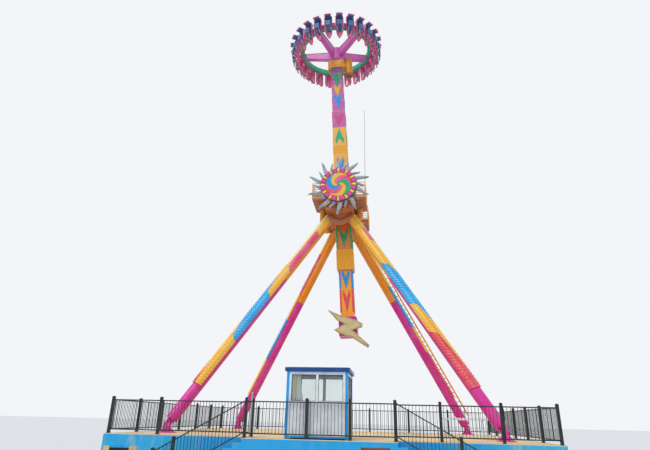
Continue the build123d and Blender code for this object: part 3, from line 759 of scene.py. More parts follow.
def quarters() -> Iterator[Matrix]:
    """The four mirrored placings of a piece that is drawn at the rear right."""
    sides = ((-1, -1), (-1, 1), (1, -1), (1, 1))
    yield from (Matrix.Diagonal((*side, 1.0, 1.0)) for side in sides)


def facing(origin: Point, across: Point, up: Point = UP) -> Matrix:
    """A right-handed frame on a face: X across, Y up and Z outwards."""
    x, y = Vector(across).normalized(), Vector(up).normalized()
    return moved(origin) @ Matrix((x, y, x.cross(y))).transposed().to_4x4()


def new_piece(name: str, data: bpy.types.ID) -> Piece:
    """Puts data into the scene as an object.

    Args:
        name: The object's name.
        data: Its mesh, lamp or camera.

    Returns:
        The object.
    """
    piece = bpy.data.objects.new(name, data)
    bpy.context.collection.objects.link(piece)
    return piece


def evaluated(piece: Piece) -> bpy.types.Mesh:
    """A plain mesh of a piece as its modifiers leave it.

    Args:
        piece: The piece.

    Returns:
        The mesh.
    """
    bpy.context.view_layer.update()
    graph = bpy.context.evaluated_depsgraph_get()
    return bpy.data.meshes.new_from_object(piece.evaluated_get(graph))


# Mesh drafting


@dataclass
class Draft:
    """A mesh in the making: corners, faces and the finish of each face."""

    name: str
    corners: list = anew(list)
    faces: list = anew(list)
    finishes: list = anew(list)
    smooth: list = anew(list)

    def put(self, corners: Sequence, faces: Sequence, coat: Coat, at: Matrix, smooth: bool = False) -> None:
        """Adds faces; a mirrored frame turns them round.

        Args:
            corners: Points in the local frame.
            faces: Rows of indices into corners, anticlockwise seen from outside.
            coat: The finish.
            at: The local frame.
            smooth: True for a rounded surface.
        """
        start = len(self.corners)
        flip = at.to_3x3().determinant() < 0
        self.corners += [at @ Vector(c) for c in corners]
        for face in faces:
            row = [start + i for i in face]
            self.faces.append(row[::-1] if flip else row)
            self.finishes.append(coat)
            self.smooth.append(smooth)

    def rings(self, rings: Sequence, coat: Coat, at: Matrix, smooth: bool = False) -> None:
        """Joins closed rings of points and caps the first and the last.

        Args:
            rings: Rows of as many points each, anticlockwise seen from the last ring's side.
            coat: The finish.
            at: The local frame.
            smooth: True for a rounded surface.
        """
        count = len(rings[0])
        last = (len(rings) - 1) * count
        faces = [tuple(reversed(range(count))), tuple(range(last, last + count))]
        for start in range(0, last, count):
            for i in range(count):
                a, b = start + i, start + (i + 1) % count
                faces.append((a, b, b + count, a + count))
        self.put([corner for ring in rings for corner in ring], faces, coat, at, smooth)

    def slab(
        self, outer: Sequence, inner: Sequence, coat: Coat, at: Matrix, smooth: bool, turned: bool
    ) -> None:
        """Adds a curved plate between two grids of points.

        Args:
            outer: Rows of points on the outer face, from low to high and anticlockwise seen from outside.
            inner: The same rows on the inner face.
            coat: The finish.
            at: The local frame.
            smooth: True for a rounded surface.
            turned: True where the rows run clockwise.
        """
        rows, wide = len(outer) - 1, len(outer[0])
        shift = len(outer) * wide
        top = rows * wide
        faces = []
        for start in range(0, top, wide):
            for a in range(start, start + wide - 1):
                face = (a, a + 1, a + wide + 1, a + wide)
                faces.append(face)
                faces.append(tuple(shift + i for i in reversed(face)))
        rim = [*range(wide), *range(2 * wide - 1, top + wide, wide)]
        rim += [*range(top + wide - 2, top - 1, -1), *range(top - wide, -1, -wide)]
        faces += [(shift + a, shift + b, b, a) for a, b in zip(rim, rim[1:])]
        if turned:
            faces = [face[::-1] for face in faces]
        self.put([corner for row in (*outer, *inner) for corner in row], faces, coat, at, smooth)

    def box(self, low: Point, high: Point, coat: Coat, at: Matrix = Matrix()) -> None:
        """Adds a box between two corners."""
        outline = rectangle(low[0], low[1], high[0], high[1])
        self.prism(outline, low[2], high[2], coat, at)

    def prism(
        self, outline: Flats, z0: float, z1: float, coat: Coat, at: Matrix, chamfer: float = 0.0
    ) -> None:
        """Adds a plate.

        Args:
            outline: Its anticlockwise outline in the local XY plane.
            z0: The level of its lower face.
            z1: The level of its upper face.
            coat: The finish.
            at: The local frame.
            chamfer: The width of the cut along its upper edge, or 0 for none.
        """
        levels = [(outline, z0), (outline, z1 - chamfer)]
        if chamfer:
            levels.append((inset(outline, chamfer), z1))
        self.rings([[(x, y, z) for x, y in shape] for shape, z in levels], coat, at)

    def lathe(self, profile: Flats, coat: Coat, at: Matrix, steps: int, smooth: bool = False) -> None:
        """Turns a profile of radius and height pairs about local Z and caps its ends.

        Args:
            profile: The profile, from its foot up on the outside.
            coat: The finish.
            at: The local frame.
            steps: How many flats it has round it.
            smooth: True for a rounded surface.
        """
        turns = [2 * pi * i / steps for i in range(steps)]
        rings = [[(r * cos(a), r * sin(a), z) for a in turns] for r, z in profile]
        self.rings(rings, coat, at, smooth)

    def tube(self, path: Sequence, radius: float, coat: Coat, at: Matrix = Matrix(), sides: int = 8) -> None:
        """Adds a round bar, capped at both ends.

        Args:
            path: Points along its middle.
            radius: Its radius.
            coat: The finish.
            at: The local frame.
            sides: How many flats it has round it.
        """
        points = [Vector(p) for p in path]
        normal = (points[1] - points[0]).normalized().orthogonal()
        rings = []
        for index, point in enumerate(points):
            before, after = points[max(index - 1, 0)], points[min(index + 1, len(points) - 1)]
            ahead = (after - before).normalized()
            normal = (normal - ahead * normal.dot(ahead)).normalized()
            side = ahead.cross(normal)
            turns = [2 * pi * k / sides for k in range(sides)]
            rings.append([point + (normal * cos(a) + side * sin(a)) * radius for a in turns])
        self.rings(rings, coat, at, sides > 6)

    def border(self, outline: Flats, width: float, z0: float, z1: float, coat: Coat, at: Matrix) -> None:
        """Adds a flat moulding inside an outline, one mitred strip for each side.

        Args:
            outline: The anticlockwise outline.
            width: How wide the moulding is.
            z0: The level of its lower face.
            z1: The level of its upper face.
            coat: The finish.
            at: The local frame.
        """
        inner = inset(outline, width)
        for i in range(len(outline)):
            j = (i + 1) % len(outline)
            strip = [outline[i], outline[j], inner[j], inner[i]]
            self.prism(strip, z0, z1, coat, at, min(width, z1 - z0) * 0.25)

    def build(self, body: str, slot: str) -> Piece:
        """Makes the object and lets it ride on a body.

        Args:
            body: The CAD body.
            slot: The record's material slot; not used.

        Returns:
            The object.
        """
        mesh = bpy.data.meshes.new(self.name)
        mesh.from_pydata([tuple(c) for c in self.corners], [], self.faces)
        order = list(dict.fromkeys(self.finishes))
        for coat in order:
            mesh.materials.append(coat.material())
        mesh.polygons.foreach_set("material_index", [order.index(c) for c in self.finishes])
        mesh.polygons.foreach_set("use_smooth", self.smooth)
        mesh.update()
        piece = new_piece(self.name, mesh)
        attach(piece, body)
        log.info("%s: %d faces", self.name, len(mesh.polygons))
        return piece


# Repeated small pieces, made by Geometry Nodes


@dataclass
class SeatedRepeat:
    """Caps, bolts or studs that sit on given seats, each turned along its seat's normal."""

    name: str
    radius: float
    height: float
    coat: Coat = Coat.STEEL
    sides: int = 6
    domed: bool = False
    seats: list = anew(list)
    normals: list = anew(list)

    def fix(self, at: Matrix, place: Point, normal: Point = UP) -> None:
        """Adds a seat, with its place and its normal in a local frame."""
        self.seats.append(tuple(at @ Vector(place)))
        self.normals.append(tuple((at.to_3x3() @ Vector(normal)).normalized()))

    def line(self, at: Matrix, outline: Flats, level: float, pitch: float) -> None:
        """Adds seats at an even pitch round an outline, at a level of a local frame."""
        for x, y in points_round(outline, pitch):
            self.fix(at, (x, y, level))

    def tree(self) -> tuple[Tree, dict[str, str]]:
        """Builds the node tree.

        Returns:
            The tree and its inputs' identifiers by name.
        """
        tree = bpy.data.node_groups.new(self.name, "GeometryNodeTree")
        tree.interface.new_socket("Geometry", in_out="INPUT", socket_type="NodeSocketGeometry")
        names = {}
        kinds = {"Radius": "Float", "Height": "Float", "Sides": "Int", "Finish": "Material"}
        for label, kind in kinds.items():
            socket = tree.interface.new_socket(label, in_out="INPUT", socket_type=f"NodeSocket{kind}")
            names[label] = socket.identifier
        tree.interface.new_socket("Geometry", in_out="OUTPUT", socket_type="NodeSocketGeometry")
        given = add(tree, "NodeGroupInput").outputs
        if self.domed:
            kind, sizes = "GeometryNodeMeshUVSphere", {"Segments": given["Sides"], "Rings": 4, "Radius": 1.0}
        else:
            kind = "GeometryNodeMeshCylinder"
            sizes = {"Vertices": given["Sides"], "Radius": 1.0, "Depth": 2.0}
        shape = add(tree, kind, sizes)
        sizes = {0: given["Radius"], 1: given["Radius"], 2: given["Height"]}
        scale = add(tree, "CombineXYZ", sizes)
        label = {"Name": "seat_normal"}
        normal = add(tree, "GeometryNodeInputNamedAttribute", label, data_type="FLOAT_VECTOR")
        turn = add(tree, "FunctionNodeAlignRotationToVector", {"Vector": normal}, axis="Z")
        seated = {"Points": given["Geometry"], "Instance": shape, "Rotation": turn, "Scale": scale}
        placed = add(tree, "GeometryNodeInstanceOnPoints", seated)
        solid = add(tree, "GeometryNodeRealizeInstances", {0: placed})
        dressed = add(tree, "GeometryNodeSetMaterial", {"Geometry": solid, "Material": given["Finish"]})
        add(tree, "NodeGroupOutput", {0: dressed})
        return tree, names

    def build(self, body: str, slot: str) -> Piece:
        """Makes the pieces as one plain mesh that rides on a body.

        Args:
            body: The CAD body.
            slot: The record's material slot; not used.

        Returns:
            The object.
        """
        mesh = bpy.data.meshes.new(self.name)
        mesh.from_pydata(self.seats, [], [])
        normals = mesh.attributes.new("seat_normal", "FLOAT_VECTOR", "POINT")
        normals.data.foreach_set("vector", [v for n in self.normals for v in n])
        piece = new_piece(self.name, mesh)
        tree, names = self.tree()
        modifier = piece.modifiers.new("seats", "NODES")
        modifier.node_group = tree
        values = (self.radius, self.height, self.sides, self.coat.material())
        for label, value in zip(names, values):
            modifier[names[label]] = value
        solid = evaluated(piece)
        piece.modifiers.clear()
        piece.data = solid
        solid.name = self.name
        if not solid.materials:
            solid.materials.append(self.coat.material())
        solid.polygons.foreach_set("use_smooth", [self.domed] * len(solid.polygons))
        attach(piece, body)
        log.info("%s: %d seats, %d faces", self.name, len(self.seats), len(solid.polygons))
        return piece


@dataclass
class Lamps:
    """Domed lamp caps, one set for each of their colours."""

    name: str
    radius: float
    height: float
    sets: dict[str, SeatedRepeat] = anew(dict)

    def fix(self, under: Coat, at: Matrix, place: Point, normal: Point = UP) -> None:
        """Adds a lamp.

        Args:
            under: The finish that it sits on, which sets its colour.
            at: The local frame.
            place: Where it sits.
            normal: Which way it faces.
        """
        coat = LAMP_ON[under]
        name = f"{self.name}_{coat.name.lower()}"
        if name not in self.sets:
            self.sets[name] = SeatedRepeat(name, self.radius, self.height, coat, 8, True)
        self.sets[name].fix(at, place, normal)

    def build(self, body: str, slot: str) -> None:
        """Makes every set that has a lamp."""
        for name in sorted(self.sets):
            self.sets[name].build(body, slot)


def build_on(body: str, slot: str, *pieces: Union[Draft, SeatedRepeat, Lamps]) -> None:
    """Builds several pieces on one body."""
    for piece in pieces:
        piece.build(body, slot)


# CAD nodes that keep their shape

CAD_COATS = {
    Coat.PLATFORM: "plinth stair_left stair_right",
    Coat.DECK: "deck_floor",
    Coat.TRIM: "recess_frames",
    Coat.HATCH: "hatch_panel",
    Coat.FENCE: "front_fences side_fences rear_fence landing_fence stair_rails",
    Coat.STEEL: "entry_post foot_pins lightning_rod harness_arms",
    Coat.WHITE: "white_barrier cabin_panels cabin_window_frames cabin_door",
    Coat.AZURE: "cabin_base cabin_frame",
    Coat.GLASS: "cabin_glass",
    Coat.ROOF: "cabin_roof",
    Coat.MAGENTA: "foot_plates foot_brackets counterweight_flange ring_beam",
    Coat.HEAD: "head_front head_rear arm_hub",
    Coat.DARK: "medallion_disc",
    Coat.SILVER: "medallion_rays",
    # the service floors are orange; their umber is painted shade on the undersides
    Coat.UMBER: "service_floors",
    Coat.ORANGE: "service_railings ladder",
    Coat.AMBER: "swing_drives bearing_housing spin_motor",
    Coat.CABLE: "drive_cable",
    Coat.SPOKE: "gondola_hub spokes",
    Coat.SHELL: "seat_backs seat_sides seat_pans",
    Coat.PAD: "back_pads seat_pads harness_pads",
}


def put_on(node: str, material: Material) -> None:
    """Gives every slot of a CAD node's piece one material.

    Args:
        node: The node's name.
        material: The material.
    """
    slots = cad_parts[node].data.materials
    if not slots:
        slots.append(material)
    for index in range(len(slots)):
        slots[index] = material


class CadFinishes:
    """Gives the CAD nodes that stay in view their finishes."""

    def build(self) -> None:
        """Puts each finish on its nodes."""
        for coat, nodes in CAD_COATS.items():
            for node in nodes.split():
                put_on(node, coat.material())
            log.info("%s: on %s", coat.value.name, nodes)


# Legs: painted tubes with a clad outer half


class Strip(Enum):
    """The three strips of cladding round a leg, with their first and last angles from its outer side."""

    FACE = (78.0, 140.0)
    CORNER = (12.0, 78.0)
    SIDE = (12.0, -50.0)


@dataclass(frozen=True)
class Edge:
    """Where one colour of a leg's cladding gives way to the next, in metres along the leg from its pin."""

    ridge: float
    outer: float
    apex: float
    above: Optional[Coat]
    corner_above: Optional[Coat] = None

    def height(self, strip: Strip, angle: float) -> float:
        """The edge's place along the leg.

        Args:
            strip: The strip of cladding.
            angle: The angle round the leg.

        Returns:
            The height above the pin.
        """
        first, last = strip.value
        share = (angle - first) / (last - first)
        if strip is Strip.CORNER:
            return self.ridge + (self.apex - self.ridge) * (1 - abs(2 * share - 1))
        return self.ridge + (self.outer - self.ridge) * share

    def coat(self, strip: Strip) -> Optional[Coat]:
        """The colour above the edge."""
        return (self.corner_above or self.above) if strip is Strip.CORNER else self.above


LEFT_EDGES = (
    Edge(1.88, 1.9, 1.88, None, Coat.RED),
    Edge(1.9, 1.92, 3.05, Coat.YELLOW),
    Edge(4.5, 4.25, 5.45, Coat.CYAN),
    Edge(7.2, 6.95, 8.3, Coat.YELLOW),
    Edge(8.92, 8.62, 8.92, Coat.PINK, Coat.CREAM_YELLOW),
    Edge(11.5, 11.35, 11.5, Coat.YELLOW, Coat.CREAM_YELLOW),
    Edge(12.75, 12.75, 12.75, None),
)
RIGHT_EDGES = (
    Edge(1.86, 1.93, 1.86, Coat.RED),
    Edge(4.55, 4.88, 2.75, Coat.YELLOW),
    Edge(6.25, 6.5, 5.1, Coat.CYAN),
    Edge(8.9, 9.2, 8.3, Coat.YELLOW),
    Edge(10.7, 10.7, 10.5, Coat.YELLOW, Coat.PINK),
    Edge(11.65, 11.65, 11.5, Coat.YELLOW),
    Edge(12.75, 12.75, 12.75, None),
)


@dataclass
class Leg:
    """One leg's paint, cladding and lamp rows."""

    side_x: int
    side_y: int
    thickness: float = 0.055
    depth_inside: float = 0.01
    seam: float = 0.006
    seam_angle: float = 1.2
    rib_pitch: float = 0.155
    rib_depth: float = 0.007
    angle_step: float = 6.0
    lamp_rows: int = 3
    lamp_sink: float = 0.004
    lamp_margin: float = 0.05
    zones: Sequence[tuple[float, str]] = ((0.0, "#d8229a"), (8.2, "#f39400"))

    @property
    def name(self) -> str:
        """The leg's node name."""
        return f"leg_{'front' if self.side_y < 0 else 'rear'}_{'right' if self.side_x > 0 else 'left'}"

    @property
    def frame(self) -> Matrix:
        """The leg's frame."""
        return leg_frame(self.side_x, self.side_y)

    @property
    def edges(self) -> tuple[Edge, ...]:
        """The colour changes, from the foot up."""
        return RIGHT_EDGES if self.side_x > 0 else LEFT_EDGES

    def paint(self) -> None:
        """Paints the tube orange above and magenta below."""
        turn = self.frame.to_3x3().col[2].to_track_quat("Z", "Y")
        upright = moved(self.frame.translation) @ turn.to_matrix().to_4x4()
        paint = ZonedPaint(f"two-tone enamel, {self.name}", upright, self.zones, -1.0, 14.0, 0.22)
        put_on(self.name, paint.build())

    def point(self, angle: float, radius: float, height: float) -> Vector:
        """A point round the leg, in its frame."""
        a = radians(angle)
        return Vector((radius * cos(a), radius * sin(a), height))

    def panel(self, draft: Draft, strip: Strip, low: Edge, high: Edge) -> None:
        """Adds one coloured panel of cladding with ribs across it.

        Args:
            draft: The mesh in the making.
            strip: The strip of cladding that it belongs to.
            low: The edge at its foot.
            high: The edge at its head.
        """
        first, last = strip.value
        margin = copysign(self.seam_angle, last - first)
        count = max(4, round(abs(last - first) / self.angle_step))
        angles = [first + margin + (last - first - 2 * margin) * i / count for i in range(count + 1)]
        feet = [low.height(strip, a) + self.seam for a in angles]
        heads = [max(high.height(strip, a) - self.seam, foot + 0.01) for a, foot in zip(angles, feet)]
        rows = max(1, round(max(head - foot for head, foot in zip(heads, feet)) / (self.rib_pitch / 2)))
        outer, inner = [], []
        for j in range(rows + 1):
            rib = self.rib_depth if 0 < j < rows and j % 2 else 0.0
            spots = [(a, foot + (head - foot) * j / rows) for a, foot, head in zip(angles, feet, heads)]
            outer.append([self.point(a, LEG_RADIUS + self.thickness - rib, z) for a, z in spots])
            inner.append([self.point(a, LEG_RADIUS - self.depth_inside, z) for a, z in spots])
        draft.slab(outer, inner, low.coat(strip), self.frame, False, last < first)

    def clad(self) -> None:
        """Makes the cladding."""
        draft = Draft(f"{self.name}_cladding")
        for strip in Strip:
            for low, high in zip(self.edges, self.edges[1:]):
                if low.coat(strip):
                    self.panel(draft, strip, low, high)
        draft.build("structure", "leg_magenta")

    def light(self, lamps: Lamps) -> None:
        """Seats lamp caps in staggered rows on the cladding, clear of the colour changes.

        Args:
            lamps: The legs' lamps.
        """
        start = self.edges[0].ridge
        steps = int((self.edges[-1].ridge - start) / self.rib_pitch)
        for strip in Strip:
            first, last = strip.value
            for row in range(self.lamp_rows):
                angle = first + (last - first) * (row + 0.5) / self.lamp_rows
                for k in range(steps):
                    height = start + self.rib_pitch * (k + (0.75 if row % 2 else 0.25))
                    coat = self.coat_at(strip, angle, height)
                    if coat:
                        place = self.point(angle, LEG_RADIUS + self.thickness - self.lamp_sink, height)
                        lamps.fix(coat, self.frame, place, self.point(angle, 1.0, 0.0))

    def coat_at(self, strip: Strip, angle: float, height: float) -> Optional[Coat]:
        """The cladding's colour at a place.

        Args:
            strip: The strip of cladding.
            angle: The angle round the leg.
            height: The height above the pin.

        Returns:
            The colour, or None near a colour change.
        """
        margin = self.lamp_margin
        for low, high in zip(self.edges, self.edges[1:]):
            if low.height(strip, angle) + margin < height < high.height(strip, angle) - margin:
                return low.coat(strip)
        return None


@dataclass
class Legs:
    """The four legs and their lamps."""

    lamp_radius: float = 0.03
    lamp_height: float = 0.024

    def build(self) -> None:
        """Paints and clads each leg and seats its lamps."""
        lamps = Lamps("leg_lamps", self.lamp_radius, self.lamp_height)
        for side_x in (-1, 1):
            for side_y in (-1, 1):
                leg = Leg(side_x, side_y)
                leg.paint()
                leg.clad()
                leg.light(lamps)
        lamps.build("structure", "leg_magenta")


# Arm: painted boxes with raised darts, corner strips and ribs


@dataclass(frozen=True)
class Dart:
    """A flat dart with a notched back, tip down unless turned, on the arm's faces."""

    level: float
    length: float
    coat: Coat
    up: bool = False
    half_width: float = 0.27
    shoulder: float = 0.2
    prong: float = 0.72
    notch: float = 0.36

    def outline(self) -> list[Flat]:
        """The outline, anticlockwise seen from outside: the level is at the prongs.

        Returns:
            The outline.
        """
        w, h, prong = self.half_width, self.length, self.half_width * self.prong
        shape = [(0.0, -h), (w, -h * self.shoulder), (prong, 0.0), (0.0, -h * self.notch)]
        shape += [(-prong, 0.0), (-w, -h * self.shoulder)]
        return [(-x, -y) for x, y in shape] if self.up else shape


@dataclass(frozen=True)
class Crown:
    """A plate whose lower edge is cut into teeth, on the arm's faces."""

    level: float
    length: float
    coat: Coat
    half_width: float = 0.4
    teeth: int = 3
    root: float = 0.4

    def outline(self) -> list[Flat]:
        """The outline, anticlockwise seen from outside: the level is at its straight upper edge.

        Returns:
            The outline.
        """
        step = 2 * self.half_width / self.teeth
        half, root = self.half_width, -self.length * self.root
        shape = [(half, 0.0), (-half, 0.0), (-half, root)]
        for tooth in range(self.teeth):
            start = step * tooth - half
            shape += [(start + step / 2, -self.length), (start + step, root)]
        return shape


@dataclass(frozen=True)
class Zone:
    """A stretch of the arm with corner strips or ribs of a colour of their own."""

    low: float
    high: float
    coat: Coat


@dataclass
class ArmPart:
    """One straight part of the arm, dressed on its four sides."""

    low: float
    high: float
    low_width: float
    high_width: float
    darts: Sequence[Union[Dart, Crown]] = ()
    strips: Sequence[Zone] = ()
    ribs: Sequence[Zone] = ()
    thickness: float = 0.022
    sink: float = 0.01
    chamfer: float = 0.008
    strip_width: float = 0.085
    rib_pitch: float = 0.11
    rib_half: float = 0.028
    lamp_pitch: float = 0.1
    lamp_margin: float = 0.035
    lamp_columns: int = 4

    def half(self, level: float) -> float:
        """Half the arm's width at a level."""
        share = (level - self.low) / (self.high - self.low)
        return (self.low_width + (self.high_width - self.low_width) * share) / 2

    def face(self, turn: int, level: float) -> Matrix:
        """The frame of a side.

        Args:
            turn: How many quarter turns the side lies from the front.
            level: Where the frame's origin lies along the arm.

        Returns:
            The frame on the surface: X across, Y along the arm and Z outwards.
        """
        lean = atan2(self.half(level + 0.5) - self.half(level - 0.5), 1.0)
        side = arm_frame() @ Matrix.Rotation(radians(90 * turn), 4, "Z")
        outwards = Matrix.Rotation(radians(90) + lean, 4, "X")
        return side @ moved((0, -self.half(level), level)) @ outwards

    def light(self, dart: Union[Dart, Crown], turn: int, lamps: Lamps) -> None:
        """Seats staggered rows of lamp caps on a dart.

        Args:
            dart: The dart.
            turn: Which side of the arm it is on.
            lamps: The arm's lamps.
        """
        room = inset(dart.outline(), self.lamp_margin)
        rows = int(dart.length / self.lamp_pitch) + 1
        for row in range(-rows, rows):
            for column in range(-self.lamp_columns, self.lamp_columns + 1):
                x = self.lamp_pitch * (column + 0.5 * (row % 2))
                y = self.lamp_pitch * row * 0.8
                if holds(room, x, y):
                    lamps.fix(dart.coat, self.face(turn, dart.level), (x, y, self.thickness))

    def dress(self, draft: Draft, lamps: Lamps, turn: int) -> None:
        """Adds darts with their lamps, corner strips and ribs to one side.

        Args:
            draft: The mesh in the making.
            lamps: The arm's lamps.
            turn: How many quarter turns the side lies from the front.
        """
        for dart in self.darts:
            at = self.face(turn, dart.level)
            draft.prism(dart.outline(), -self.sink, self.thickness, dart.coat, at, self.chamfer)
            if dart.coat in LAMP_ON:
                self.light(dart, turn, lamps)
        for zone in self.strips:
            middle, reach = (zone.low + zone.high) / 2, (zone.high - zone.low) / 2
            at = self.face(turn, middle)
            outer = self.half(middle) + self.thickness * 0.5
            strip = rectangle(outer - self.strip_width, -reach, outer, reach)
            for outline in (strip, mirrored(strip)):
                draft.prism(outline, -self.sink, self.thickness, zone.coat, at, self.chamfer)
        for zone in self.ribs:
            for k in range(int((zone.high - zone.low) / self.rib_pitch)):
                level = zone.low + self.rib_pitch * (k + 0.5)
                half = self.half(level) + 0.012
                rib = rectangle(-half, -self.rib_half, half, self.rib_half)
                draft.prism(rib, -self.sink, 0.02, zone.coat, self.face(turn, level), 0.012)


ARM_PARTS = (
    ArmPart(
        -6.56, -0.8, 0.7, 0.7,
        darts=(Dart(-4.02, 1.05, Coat.BLUE, half_width=0.225), Dart(-5.12, 1.22, Coat.RED, half_width=0.21)),
        strips=(Zone(-5.05, -4.02, Coat.BLUE), Zone(-6.3, -5.1, Coat.RED)),
    ),
    ArmPart(
        -2.84, -0.8, 0.84, 0.84,
        darts=(Crown(-0.82, 0.72, Coat.FLAME), Dart(-1.62, 1.14, Coat.GREEN, half_width=0.25)),
        strips=(Zone(-2.8, -1.5, Coat.GREEN),),
    ),
    ArmPart(-3.98, -2.87, 0.89, 0.89, ribs=(Zone(-3.98, -2.87, Coat.GOLD),)),
    ArmPart(
        0.8, 6.15, 0.84, 0.79,
        darts=(
            Dart(2.98, 1.4, Coat.BLUE, half_width=0.23),
            Dart(3.9, 1.08, Coat.GREEN, up=True, half_width=0.275),
            Dart(6.05, 0.82, Coat.ROSE, half_width=0.3),
        ),
        ribs=(Zone(3.22, 3.84, Coat.GOLD),),
    ),
    ArmPart(
        6.15, 9.6, 0.74, 0.69,
        darts=(
            Dart(9.22, 1.17, Coat.GREEN, half_width=0.27, notch=0.2),
            Dart(8.28, 1.01, Coat.YELLOW, half_width=0.24, notch=0.27),
            Dart(7.54, 1.13, Coat.BLUE, half_width=0.26, notch=0.31),
        ),
    ),
)
LOWER_ZONES = ((-6.56, "#f8a206"), (-4.0, "#f6ac1a"), (-2.85, "#ea8c38"), (-1.75, "#da6c38"))
# the upper arm's last zone, dark violet from 9.2, is painted shade under the bearing housing
UPPER_ZONES_WITH_SHADE = ((0.8, "#ecab42"), (5.0, "#c45ba0"), (6.9, "#cc66b4"), (8.6, "#b65c9e"), (9.2, "#80588f"))


@dataclass
class Arm:
    """Both halves of the swinging arm; a flange is a level, half a width and the side that it lies on."""

    flanges: Sequence[Point] = ((0.8, 0.45, 1), (-0.8, 0.45, -1), (6.15, 0.41, 1), (-4.0, 0.4, -1))
    flange_thickness: float = 0.035
    bolt_inset: float = 0.022
    bolt_pitch: float = 0.16

    def paint(self) -> None:
        """Paints the zones of both halves; the upper arm's dark violet top zone is painted shade under the
        bearing housing.
        """
        for node, zones, top in (("lower_arm", LOWER_ZONES, -0.8), ("upper_arm", UPPER_ZONES_WITH_SHADE, 9.6)):
            name, low = f"zoned enamel, {node}", zones[0][0]
            put_on(node, ZonedPaint(name, arm_frame(), zones, low, top, 0.34).build())

    def fasten(self) -> None:
        """Bolts the arm's halves to its hub and its lower end to the counterweight's flange."""
        draft = Draft("arm_flanges")
        bolts = SeatedRepeat("arm_bolts", 0.026, 0.022)
        for level, half, side in self.flanges:
            outline = rectangle(-half, -half, half, half)
            far = level + side * self.flange_thickness
            draft.prism(outline, min(level, far), max(level, far), Coat.AMBER, arm_frame(), 0.008)
            for x, y in points_round(inset(outline, self.bolt_inset), self.bolt_pitch):
                bolts.fix(arm_frame(), (x, y, far), (0, 0, side))
        build_on("pendulum", "arm_orange", draft, bolts)

    def build(self) -> None:
        """Paints and dresses the arm."""
        self.paint()
        draft = Draft("arm_dress")
        lamps = Lamps("arm_lamps", 0.024, 0.02)
        for part in ARM_PARTS:
            for turn in range(4):
                part.dress(draft, lamps, turn)
        build_on("pendulum", "arm_orange", draft, lamps)
        self.fasten()


# Medallion: rim blocks, pinwheel and flame relief


